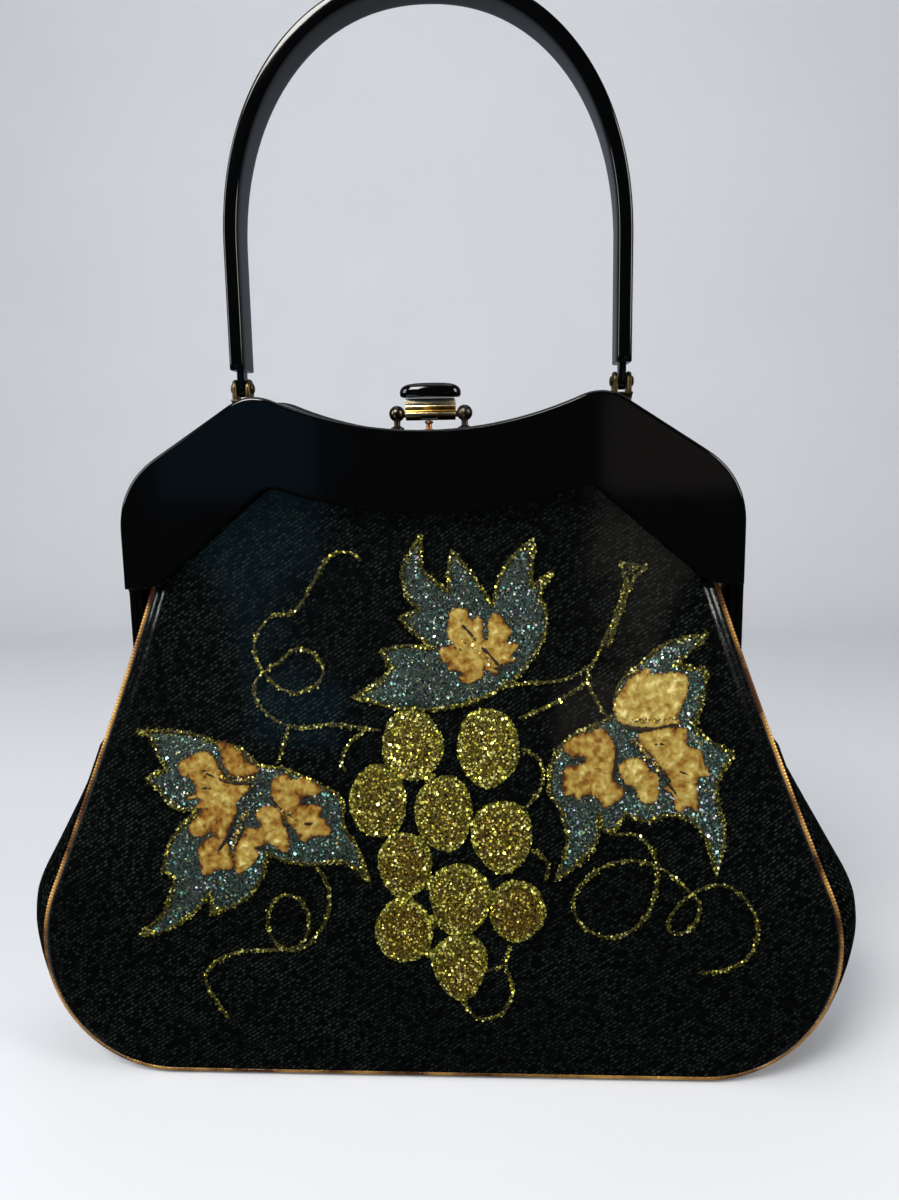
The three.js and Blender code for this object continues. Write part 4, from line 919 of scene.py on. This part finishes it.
def frame_top(inset, end_z):
    """The right-hand half of the frame's outer line, from its end up to the middle of the dip."""
    slope = np.array((-math.cos(SHOULDER_SLOPE), math.sin(SHOULDER_SLOPE)))
    normal = np.array((slope[1], -slope[0]))
    side = FRAME_HALF - inset
    corner = np.array((side, (normal @ SHOULDER - inset - normal[0] * side) / normal[1]))
    centre, radius = np.array((0, DIP_Z + DIP_R)), DIP_R + inset
    half = (corner - centre) @ slope
    away = (corner - centre) @ (corner - centre)
    peak = corner - slope * (half + math.sqrt(half ** 2 - away + radius ** 2))
    dip = np.linspace(peak[0] - OUTER_ROUND, 0, 30)
    dip_line = np.stack([dip, centre[1] - np.sqrt(radius ** 2 - dip ** 2)], axis=1)
    return [np.array((side, end_z)),
            *rounded(corner - (0, SHOULDER_ROUND), corner, corner + slope * SHOULDER_ROUND, steps=16),
            *rounded(peak - slope * OUTER_ROUND, peak, dip_line[0]), *dip_line[1:]]


def plate_low():
    """The right-hand half of the plate's lower line, from its heel to the middle."""
    rise = unit(PLATE_NOTCH - PLATE_HEEL)
    low = np.linspace(PLATE_NOTCH[0] - INNER_ROUND, 0, 24)
    low_line = np.stack([low, PLATE_LOW_Z + PLATE_LOW_R - np.sqrt(PLATE_LOW_R ** 2 - low ** 2)], axis=1)
    return [*rounded(PLATE_HEEL + (INNER_ROUND, 0), PLATE_HEEL, PLATE_HEEL + rise * INNER_ROUND),
            *rounded(PLATE_NOTCH - rise * INNER_ROUND, PLATE_NOTCH, low_line[0]), *low_line[1:]]


def mirrored(half):
    """Both halves of a line that ends in the middle, from right to left."""
    return [*half, *(point * (-1, 1) for point in half[-2::-1])]


def cut_plate(outline, back, front, edge=0.0, across=False):
    """A plate cut to an outline, from back to front along y, or along x, with rounded edges."""
    bm = bmesh.new()
    face = bm.faces.new([bm.verts.new((a, back, b)) for a, b in outline])
    raised = bmesh.ops.extrude_face_region(bm, geom=[face])["geom"]
    bmesh.ops.translate(bm, vec=(0, front - back, 0),
                        verts=[part for part in raised if isinstance(part, bmesh.types.BMVert)])
    bmesh.ops.recalc_face_normals(bm, faces=bm.faces)
    if edge:
        rims = [line for line in bm.edges if abs(line.verts[0].co.y - line.verts[1].co.y) < 0.001]
        bmesh.ops.bevel(bm, geom=rims, offset=edge, offset_type="OFFSET", segments=4, profile=0.5,
                        affect="EDGES", material=-1, clamp_overlap=True)
    if across:
        reshape(bm, lambda x, y, z: (y, x, z))
        bmesh.ops.reverse_faces(bm, faces=bm.faces)
    return bm


def even_shine(made):
    """Keeps the flat faces of a piece flat between their rounded edges."""
    shine = made.modifiers.new("flat_faces", "WEIGHTED_NORMAL")
    shine.keep_sharp = True


handling, given, result = new_group("polish wear", {"Least": "Float", "Most": "Float"},
                                    {"Roughness": "Float", "Height": "Float"})
smudges = mottle(handling, 35, 5, Roughness=0.65)
haze = node(handling, "MapRange", {"Value": smudges.outputs["Fac"], "From Min": 0.35, "From Max": 0.75,
                                   "To Min": given["Least"], "To Max": given["Most"]})
handling.links.new(haze.outputs[0], result["Roughness"])
place = node(handling, "TexCoord", {})
drawn_out = node(handling, "Mapping", {"Vector": place.outputs["Object"], "Scale": (160, 160, 2200),
                                       "Rotation": (0.2, 0.5, 0.3)})
scratches = node(handling, "TexNoise", {"Vector": drawn_out.outputs[0], "Scale": 1, "Detail": 3})
handling.links.new(scratches.outputs["Fac"], result["Height"])


def polish(tree, shader, least, most):
    """Gives a finish a roughness between least and most that handling has worn, and its scratches' height."""
    wear = node(tree, "Group", {}, node_tree=handling)
    wear.inputs["Least"].default_value, wear.inputs["Most"].default_value = least, most
    tree.links.new(wear.outputs["Roughness"], shader.inputs["Roughness"])
    return wear.outputs["Height"]


acrylic, tree, shader = new_material("black_acrylic", {"IOR": 1.49, "Specular IOR Level": 0.5})
cloud = mottle(tree, 14, 3)
dye(tree, shader, cloud.outputs["Fac"], (0.0003, 0.0003, 0.0004), (0.0008, 0.0009, 0.0010))
emboss(tree, shader, polish(tree, shader, 0.05, 0.13), 0.04, 0.1)


def arm(side, lug_outside):
    """An arm of the front half: a bar in two layers, one with the hinge lug, one cut round the other's."""
    low, high, front, back = ARM_LOW, ARM_HIGH, -ARM_FRONT, -PARTING
    lug_turn = np.linspace(-math.pi, math.pi / 2, 40)
    room_turn = np.linspace(math.pi, math.pi / 2, 16)
    lug = [(LUG_R * math.cos(a), low + LUG_R * math.sin(a)) for a in lug_turn]
    room = [(min(back, LUG_ROOM * math.cos(a)), low + LUG_ROOM * math.sin(a)) for a in room_turn]
    with_lug = [(front, low), *lug, (back, high), (front, high)]
    round_lug = [(front, low), *room, (back, high), (front, high)]
    middle = (ARM_IN + ARM_OUT) / 2
    outer, inner = (with_lug, round_lug) if lug_outside else (round_lug, with_lug)
    return (cut_plate(outer, side * (middle + LUG_GAP / 2), side * ARM_OUT, edge=ARM_EDGE, across=True),
            cut_plate(inner, side * ARM_IN, side * (middle - LUG_GAP / 2), edge=ARM_EDGE, across=True))


for name in ("front_frame", "back_frame"):
    lug_outside = name == "front_frame"
    plate = mirrored(frame_top(0, PLATE_END)) + mirrored(plate_low())[::-1]
    outer, inner = (mirrored(frame_top(inset, PLATE_END - 1))
                    for inset in (FRAME_STEP, FRAME_STEP + FRAME_WALL))
    bm = gather(
        cut_plate(plate, -(FRAME_FRONT - PLATE), -FRAME_FRONT, edge=PLATE_EDGE),
        cut_plate(outer + inner[::-1], -PARTING, -(FRAME_FRONT - PLATE + WALL_BITE), edge=WALL_EDGE),
        *arm(1, lug_outside), *arm(-1, lug_outside))
    if name == "back_frame":
        bmesh.ops.rotate(bm, verts=bm.verts, matrix=TO_BACK)
    half = finish_piece(name + "_acrylic", bm, acrylic)
    even_shine(half)
    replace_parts(half, name)

# --- Hinge pins -----------------------------------------------------------------------------------
# A brass rivet goes through the lugs of both halves at each side of the waist. Its two heads are
# turned to low domes, and years of air have dulled it.

HINGE_FROM, HINGE_TO, HINGE_R, HINGE_HEAD_R, HINGE_HEAD = 108.15, 115.65, 1.5, 3, 0.9


def turned_piece(profile, steps=36):
    """A piece turned about the z axis, from a profile of radius and height."""
    bm = bmesh.new()
    verts = [bm.verts.new((radius, 0, height)) for radius, height in profile]
    lines = [bm.edges.new(pair) for pair in zip(verts, verts[1:])]
    bmesh.ops.spin(bm, geom=verts + lines, cent=(0, 0, 0), axis=(0, 0, 1), angle=math.tau, steps=steps,
                   use_merge=True)
    bmesh.ops.remove_doubles(bm, verts=bm.verts, dist=0.001)
    bmesh.ops.recalc_face_normals(bm, faces=bm.faces)
    return bm


def rivet(start, end, shaft_r, head_r, head, y, z):
    """A rivet along x with a low dome at each end."""
    dome = [(0, 0), (0.5, 0.06), (0.8, 0.3), (1, 0.8), (1, 1)]
    one = [(head_r * r, start + head * rise) for r, rise in dome]
    other = [(head_r * r, end - head * rise) for r, rise in dome]
    bm = turned_piece([*one, (shaft_r, start + head), (shaft_r, end - head), *other[::-1]])
    bmesh.ops.rotate(bm, verts=bm.verts, matrix=Matrix.Rotation(math.pi / 2, 3, "Y"))
    bmesh.ops.translate(bm, verts=bm.verts, vec=(0, y, z))
    return bm


def old_metal(name, bright, dull, least, most):
    """Metal with a worn polish, bright where it is rubbed and dull where it isn't."""
    made, tree, shader = new_material(name, {"Metallic": 1.0})
    film = mottle(tree, 260, 5)
    patches = node(tree, "MapRange", {"Value": film.outputs["Fac"], "From Min": 0.35, "From Max": 0.68})
    dye(tree, shader, patches.outputs[0], bright, dull)
    polish(tree, shader, least, most)
    emboss(tree, shader, film.outputs["Fac"], 0.12, 0.1)
    return made


brass = old_metal("old_brass", (0.15, 0.11, 0.045), (0.035, 0.027, 0.012), 0.3, 0.5)
for name, side in (("left", -1), ("right", 1)):
    start, end = sorted((side * HINGE_FROM, side * HINGE_TO))
    pin = rivet(start, end, HINGE_R, HINGE_HEAD_R, HINGE_HEAD, 0, ARM_LOW)
    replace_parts(finish_piece(f"hinge_rivet_{name}", pin, brass), f"hinge_pin_{name}")

# --- Handle brackets ------------------------------------------------------------------------------
# Two cast brass feet stand on the back half where the frame comes up to its peaks. Each has a
# pair of round ears, with the tang of the handle between them on a headed pin.

HANDLE_X, HANDLE_Y, HANDLE_END = 71.4, 5, 264.8
PIN_Z, PIN_R, PIN_HEAD_R, PIN_HEAD = 258.4, 1.15, 1.9, 0.7
TANG_THICK, TANG_R, TANG_BITE = 2.6, 3.1, 2
EAR_THICK, EAR_R, EAR_ROOM, EAR_EDGE = 1.8, 3.5, 0.35, 0.7
FOOT_WIDE, FOOT_DEEP, FOOT_TOP, FOOT_NECK = 8.4, 8.4, 254.4, 251.5
FOOT_WAIST, FOOT_TAPER, FOOT_EDGE = 0.16, 0.06, 0.9


def frame_height(x):
    """The height of the frame's top face at a distance from the middle."""
    line = np.array(frame_top(FRAME_STEP, PLATE_END))[::-1]
    return np.interp(np.abs(x), line[:, 0], line[:, 1])


def round_ended(y, low, high, radius, ends):
    """A bar's outline in y and z, with a half round at its top or its bottom."""
    turn = np.linspace(0, math.pi, 24)
    if ends == "top":
        return [(y + radius * math.cos(a), high + radius * math.sin(a)) for a in turn] + [
            (y - radius, low), (y + radius, low)]
    return [(y - radius * math.cos(a), low - radius * math.sin(a)) for a in turn] + [
        (y + radius, high), (y - radius, high)]


for name, x in (("left", -HANDLE_X), ("right", HANDLE_X)):
    side = math.copysign(1, x)
    foot = bmesh.new()
    bmesh.ops.create_cube(foot, size=1)
    bmesh.ops.subdivide_edges(foot, edges=foot.edges[:], cuts=6, use_grid_fill=True)

    def stand(u, v, w):
        """A foot that follows the frame's slope below and draws in to a neck below the ears."""
        rise = w + 0.5
        narrow = 1 - FOOT_WAIST * np.sin(math.pi * rise) - FOOT_TAPER * rise
        px = x + u * FOOT_WIDE * narrow
        base = frame_height(x + u * FOOT_WIDE) + EAR_ROOM
        return px, HANDLE_Y + v * FOOT_DEEP * narrow, base + rise * (FOOT_TOP - base)

    reshape(foot, stand)
    rims = [line for line in foot.edges if line.calc_face_angle(0) > math.radians(50)]
    bmesh.ops.bevel(foot, geom=rims, offset=FOOT_EDGE, offset_type="OFFSET", segments=3, profile=0.5,
                    affect="EDGES", material=-1, clamp_overlap=True)
    inside = TANG_THICK / 2 + EAR_ROOM
    ear = round_ended(HANDLE_Y, FOOT_NECK, PIN_Z, EAR_R, "top")
    bm = gather(foot, cut_plate(ear, x - inside - EAR_THICK, x - inside, edge=EAR_EDGE, across=True),
                cut_plate(ear, x + inside, x + inside + EAR_THICK, edge=EAR_EDGE, across=True))
    bracket = finish_piece(f"handle_foot_{name}", bm, brass)
    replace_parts(bracket, f"handle_bracket_{name}")
    reach = inside + EAR_THICK + EAR_ROOM + PIN_HEAD
    pin = rivet(x - reach, x + reach, PIN_R, PIN_HEAD_R, PIN_HEAD, HANDLE_Y, PIN_Z)
    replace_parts(finish_piece(f"handle_rivet_{name}", pin, brass), f"handle_pin_{name}")

# --- Handle ---------------------------------------------------------------------------------------
# One strip of black acrylic, with its edges rounded and polished, is bent hot to a tall arch.
# A tang at the foot of each leg swings between the ears of its bracket.

HANDLE_SPRING, HANDLE_RISE, HANDLE_THICK, HANDLE_WIDE = 307.5, 88.2, 6, 16
HANDLE_SQUARE, ARCH_SQUARE = 0.36, 0.93  # the lower, the squarer its section and its arch
HANDLE_ROUND, HANDLE_STEPS, HANDLE_EDGE, TANG_EDGE = 48, 160, 0.5, 0.4

leg = HANDLE_SPRING - HANDLE_END
arch_length = math.pi * (HANDLE_X + HANDLE_RISE) / 2
strip_length = 2 * leg + arch_length


def squared(value, square):
    return np.sign(value) * np.abs(value) ** square


def bend_strip(x, y, z):
    """Bends a straight round bar, 1 in radius and along z from -1 to 1, to the squared arch."""
    along = (z + 1) / 2 * strip_length
    from_end = np.minimum(along, strip_length - along)
    turn = np.clip((along - leg) / arch_length, 0, 1) * math.pi
    size, angle = np.hypot(x, y), np.arctan2(y, x)
    out = size * squared(np.cos(angle), HANDLE_SQUARE) * HANDLE_THICK / 2
    deep = size * squared(np.sin(angle), HANDLE_SQUARE) * HANDLE_WIDE / 2
    rise = (HANDLE_RISE + out) * squared(np.sin(turn), ARCH_SQUARE)
    return ((HANDLE_X + out) * squared(np.cos(turn), ARCH_SQUARE), HANDLE_Y + deep,
            HANDLE_END + np.minimum(from_end, leg) + rise)


strip = bmesh.new()
bmesh.ops.create_cone(strip, cap_ends=True, segments=HANDLE_ROUND, radius1=1, radius2=1, depth=2)
walls = [line for line in strip.edges if abs(line.verts[0].co.z - line.verts[1].co.z) > 1]
bmesh.ops.subdivide_edges(strip, edges=walls, cuts=HANDLE_STEPS)
reshape(strip, bend_strip)
bmesh.ops.recalc_face_normals(strip, faces=strip.faces)
ends = [line for line in strip.edges if line.calc_face_angle(0) > math.radians(60)
        and abs(line.verts[0].co.z - line.verts[1].co.z) < 0.01 and line.verts[0].co.z < HANDLE_END + 0.01]
bmesh.ops.bevel(strip, geom=ends, offset=HANDLE_EDGE, offset_type="OFFSET", segments=3, profile=0.5,
                affect="EDGES", material=-1, clamp_overlap=True)
tang = round_ended(HANDLE_Y, PIN_Z, HANDLE_END + TANG_BITE, TANG_R, "bottom")
bm = gather(strip, *(cut_plate(tang, x - TANG_THICK / 2, x + TANG_THICK / 2, edge=TANG_EDGE, across=True)
                     for x in (-HANDLE_X, HANDLE_X)))
handle = finish_piece("handle_arch", bm, acrylic, body="handle")
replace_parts(handle, "handle_strap")

# --- Clasp ----------------------------------------------------------------------------------------
# A lift clasp: two bronze ball posts carry a rod, and a gilt barrel with a black acrylic cap turns
# on it. Its toe goes down behind a copper stud on the front half.

CLASP_Y, ROD_Z, ROD_R = 5, 247.6, 1.1
BALL_X, BALL_Z, BALL_R, POST_R, POST_FOOT_R = 12.8, 248, 3, 1.2, 2.6
LEVER_HALF, LEVER_TOP, LEVER_FRONT, LEVER_BACK, SLEEVE_R = 9.4, 253.5, 1.8, 2.2, 2.2
TOE_HALF, TOE_REACH, TOE_LOW, TOE_THICK = 3, 11, 245.7, 1.2
CAP_HALF, CAP_DEEP, CAP_LOW, CAP_TOP, CAP_SQUARE = 11.5, 5.2, 253.9, 259.3, 0.7
STUD_Y, STUD_R, STUD_NECK, STUD_TOP = -5, 1.6, 1, 245.2
BARREL_EDGE, TOE_EDGE, LIGHT_BANDS_FROM = 0.25, 0.3, 245

bronze = old_metal("dark_bronze", (0.13, 0.105, 0.075), (0.032, 0.027, 0.021), 0.18, 0.4)
copper = old_metal("copper_stud", (0.70, 0.36, 0.17), (0.30, 0.13, 0.06), 0.2, 0.4)

posts = []
for x in (-BALL_X, BALL_X):
    low = float(frame_height(abs(x) + POST_FOOT_R)) + EAR_ROOM
    ball_turn = np.radians(np.linspace(-65, 89, 22))
    ball = [(BALL_R * math.cos(a), BALL_Z + BALL_R * math.sin(a)) for a in ball_turn]
    post = turned_piece([(0, low), (POST_FOOT_R, low), (POST_FOOT_R, low + 0.6), (2.2, low + 0.85),
                         (POST_R, low + 1.5), *ball, (0, BALL_Z + BALL_R)])
    bmesh.ops.translate(post, verts=post.verts, vec=(x, CLASP_Y, 0))
    posts.append(post)
rod = turned_piece([(0, -BALL_X), (ROD_R, -BALL_X), (ROD_R, BALL_X), (0, BALL_X)], steps=24)
bmesh.ops.rotate(rod, verts=rod.verts, matrix=Matrix.Rotation(math.pi / 2, 3, "Y"))
bmesh.ops.translate(rod, verts=rod.verts, vec=(0, CLASP_Y, ROD_Z))
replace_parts(finish_piece("clasp_posts", gather(*posts, rod), bronze), "clasp_base")

stud_low = float(frame_height(STUD_R)) + EAR_ROOM
stud = turned_piece([(0, stud_low), (STUD_R, stud_low), (STUD_R, stud_low + 0.7), (STUD_NECK, stud_low + 1),
                     (STUD_NECK, STUD_TOP - 1.4), (STUD_R * 0.9, STUD_TOP - 1.2), (STUD_R, STUD_TOP - 0.8),
                     (STUD_R * 0.8, STUD_TOP - 0.3), (0, STUD_TOP)])
bmesh.ops.translate(stud, verts=stud.verts, vec=(0, STUD_Y, 0))
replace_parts(finish_piece("clasp_stud_copper", stud, copper), "clasp_stud")

gilt, tree, shader = new_material("gilt_barrel", {"Metallic": 1.0})
place = node(tree, "TexCoord", {})
height = node(tree, "SeparateXYZ", {"Vector": place.outputs["Object"]})
# The gilt is coloured by height in bands: a painted dark band of shade low down, and painted highlight lines
# across it higher up.
painted_bands_by_height = node(tree, "MapRange", {"Value": height.outputs["Z"], "From Min": LIGHT_BANDS_FROM * MM,
                                "From Max": LEVER_TOP * MM})
colour_bands(tree, shader, painted_bands_by_height.outputs[0], (
    (0.2, (0.05, 0.03, 0.012)), (0.36, (0.80, 0.66, 0.40)), (0.42, (0.42, 0.22, 0.04)),
    (0.62, (0.62, 0.36, 0.08)), (0.68, (0.90, 0.78, 0.50)), (0.95, (0.94, 0.86, 0.62))))
polish(tree, shader, 0.12, 0.32)

front, back = CLASP_Y - LEVER_FRONT, CLASP_Y + LEVER_BACK
swell = [(front - 0.35 - 0.75 * math.sin(t * math.pi), LEVER_TOP - 2 - 2.4 * t)
         for t in np.linspace(0, 1, 12)]
barrel = [(back, ROD_Z), (back, LEVER_TOP), (front - 0.2, LEVER_TOP), (front - 0.5, LEVER_TOP - 1.8), *swell,
          (front - 0.5, ROD_Z + 1.2), (front - 0.5, ROD_Z + 0.8), (front, ROD_Z + 0.6), (front, ROD_Z)]
sleeve = [(CLASP_Y + SLEEVE_R * math.cos(a), ROD_Z + SLEEVE_R * math.sin(a))
          for a in np.linspace(0, math.tau, 32, endpoint=False)]
toe = [(CLASP_Y - TOE_REACH, TOE_LOW), (CLASP_Y, TOE_LOW), (CLASP_Y, TOE_LOW + TOE_THICK),
       (CLASP_Y - TOE_REACH, TOE_LOW + TOE_THICK)]
bm = gather(cut_plate(barrel, -LEVER_HALF, LEVER_HALF, edge=BARREL_EDGE, across=True),
            cut_plate(sleeve, -LEVER_HALF, LEVER_HALF, edge=BARREL_EDGE, across=True),
            cut_plate(toe, -TOE_HALF, TOE_HALF, edge=TOE_EDGE, across=True))
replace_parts(finish_piece("clasp_barrel", bm, gilt, body="clasp"), "clasp_lever")

cap = turned_piece([(0, 0), (0.92, 0), (0.97, 0.05), (1, 0.18), (1, 0.35), (0.985, 0.5), (0.94, 0.66),
                    (0.85, 0.81), (0.7, 0.91), (0.5, 0.965), (0.25, 0.99), (0, 1)], steps=72)


def square_off(u, v, w):
    """Squares a round cap to its oblong plan."""
    out, angle = np.hypot(u, v), np.arctan2(v, u)
    return (CAP_HALF * out * squared(np.cos(angle), CAP_SQUARE),
            CLASP_Y + CAP_DEEP * out * squared(np.sin(angle), CAP_SQUARE), CAP_LOW + w * (CAP_TOP - CAP_LOW))


reshape(cap, square_off)
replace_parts(finish_piece("clasp_cap_acrylic", cap, acrylic, body="clasp"), "clasp_cap")

# --- Floor, lights and camera -----------------------------------------------------------------------
# A pale sweep of paper carries the bag: a plain floor that curves up far behind it. The light is
# soft and from above, so that the vinyl stays dark, with a dim blue card to the left of the camera
# and a dim warm one to its right for the vinyl to mirror.

STAGE_HALF, FLOOR_FRONT, FLOOR_BACK, SWEEP_BACK, SWEEP_R, SWEEP_TOP = 2600, -1500, 300, 1250, 450, 2200


def pulled_sheet(name, line):
    """A wide sheet of paper drawn from a line in y and z."""
    bm = bmesh.new()
    start = [bm.verts.new((-STAGE_HALF, y, z)) for y, z in line]
    lines = [bm.edges.new(pair) for pair in zip(start, start[1:])]
    pulled = bmesh.ops.extrude_edge_only(bm, edges=lines)["geom"]
    bmesh.ops.translate(bm, vec=(2 * STAGE_HALF, 0, 0),
                        verts=[part for part in pulled if isinstance(part, bmesh.types.BMVert)])
    bmesh.ops.scale(bm, vec=(MM, MM, MM), verts=bm.verts)
    mesh = bpy.data.meshes.new(name)
    bm.to_mesh(mesh)
    bm.free()
    mesh.shade_smooth()
    mesh.materials.append(paper)
    made = bpy.data.objects.new(name, mesh)
    bpy.context.scene.collection.objects.link(made)
    made.visible_glossy = False  # so that the vinyl and the acrylic stay dark


paper, tree, shader = new_material("pale_paper", {"Roughness": 0.9, "Specular IOR Level": 0.1})
fibre = mottle(tree, 6, 3)
dye(tree, shader, fibre.outputs["Fac"], (0.62, 0.645, 0.69), (0.66, 0.68, 0.72))
sweep_turn = np.linspace(-math.pi / 2, 0, 24)
sweep = [(SWEEP_BACK - SWEEP_R + SWEEP_R * math.cos(a), SWEEP_R + SWEEP_R * math.sin(a)) for a in sweep_turn]
pulled_sheet("backdrop", [(FLOOR_BACK, 0), *sweep, (SWEEP_BACK, SWEEP_TOP)])
pulled_sheet("floor", [(FLOOR_FRONT, 0), (FLOOR_BACK, 0)])

BAG, WALL = (0, 0, 0.13), (0, 0.9, 0.3)
LIGHTS = (  # name, place in metres, where it aims, width and height, watts, colour
    ("key", (-0.5, -0.95, 1.2), BAG, (0.6, 0.6), 23, (1.0, 0.97, 0.92)),
    ("left", (-1.2, -0.55, 0.7), BAG, (0.5, 0.7), 8, (0.92, 0.96, 1.0)),
    ("right", (1.2, -0.6, 0.75), BAG, (0.5, 0.7), 9.5, (1.0, 0.97, 0.93)),
    ("front", (0.0, -1.3, 0.4), BAG, (0.5, 0.5), 7, (1.0, 0.98, 0.95)),
    ("wall", (0.0, 0.35, 2.1), WALL, (1.6, 1.6), 8, (0.97, 0.98, 1.0)),
    ("window", (-0.34, -1.0, 0.25), (-0.05, -0.04, 0.18), (0.22, 0.16), 0.02, (0.10, 0.48, 0.75)),
    ("door", (0.26, -1.0, 0.24), (0.07, -0.03, 0.19), (0.18, 0.14), 0.012, (1.0, 0.86, 0.74)),
)
for name, spot, aim, size, watts, colour in LIGHTS:
    lamp = bpy.data.lights.new(name, "AREA")
    lamp.shape = "RECTANGLE"
    (lamp.size, lamp.size_y), lamp.energy, lamp.color = size, watts, colour
    holder = bpy.data.objects.new(name, lamp)
    holder.location = spot
    holder.rotation_euler = (Vector(aim) - Vector(spot)).to_track_quat("-Z", "Y").to_euler()
    holder.visible_glossy = name != "front"  # it lights the cloth without a reflection in the vinyl
    bpy.context.scene.collection.objects.link(holder)

world = bpy.data.worlds.new("room")
world.use_nodes = True
tree = world.node_tree
place = node(tree, "TexCoord", {})
way = node(tree, "SeparateXYZ", {"Vector": place.outputs["Generated"]})
glow = node(tree, "MapRange", {"Value": way.outputs["Y"], "From Max": 0.6, "To Min": 0.06, "To Max": 0.6})
tree.nodes["Background"].inputs["Color"].default_value = (0.30, 0.33, 0.38, 1)
tree.links.new(glow.outputs[0], tree.nodes["Background"].inputs["Strength"])
bpy.context.scene.world = world
bpy.context.scene.view_settings.view_transform = "Standard"

CAMERA_AT = (25.5, -354.8, 234.6)
YAW, PITCH, ROLL = (math.radians(angle) for angle in (3.12, -9.17, -0.98))
FOCAL_PX, PHOTO_HIGH, SENSOR = 936, 1200, 36
forward = Vector((-math.sin(YAW) * math.cos(PITCH), math.cos(YAW) * math.cos(PITCH), math.sin(PITCH)))
level_right = Vector((math.cos(YAW), math.sin(YAW), 0))
level_up = level_right.cross(forward)
right = level_right * math.cos(ROLL) + level_up * math.sin(ROLL)
up = level_up * math.cos(ROLL) - level_right * math.sin(ROLL)
lens = bpy.data.cameras.new("camera")
lens.sensor_width, lens.lens = SENSOR, FOCAL_PX / PHOTO_HIGH * SENSOR
lens.clip_start = 0.01
camera = bpy.data.objects.new("camera", lens)
camera.matrix_world = Matrix((right, up, -forward)).transposed().to_4x4()
camera.location = Vector(CAMERA_AT) * MM
bpy.context.scene.collection.objects.link(camera)
bpy.context.scene.camera = camera
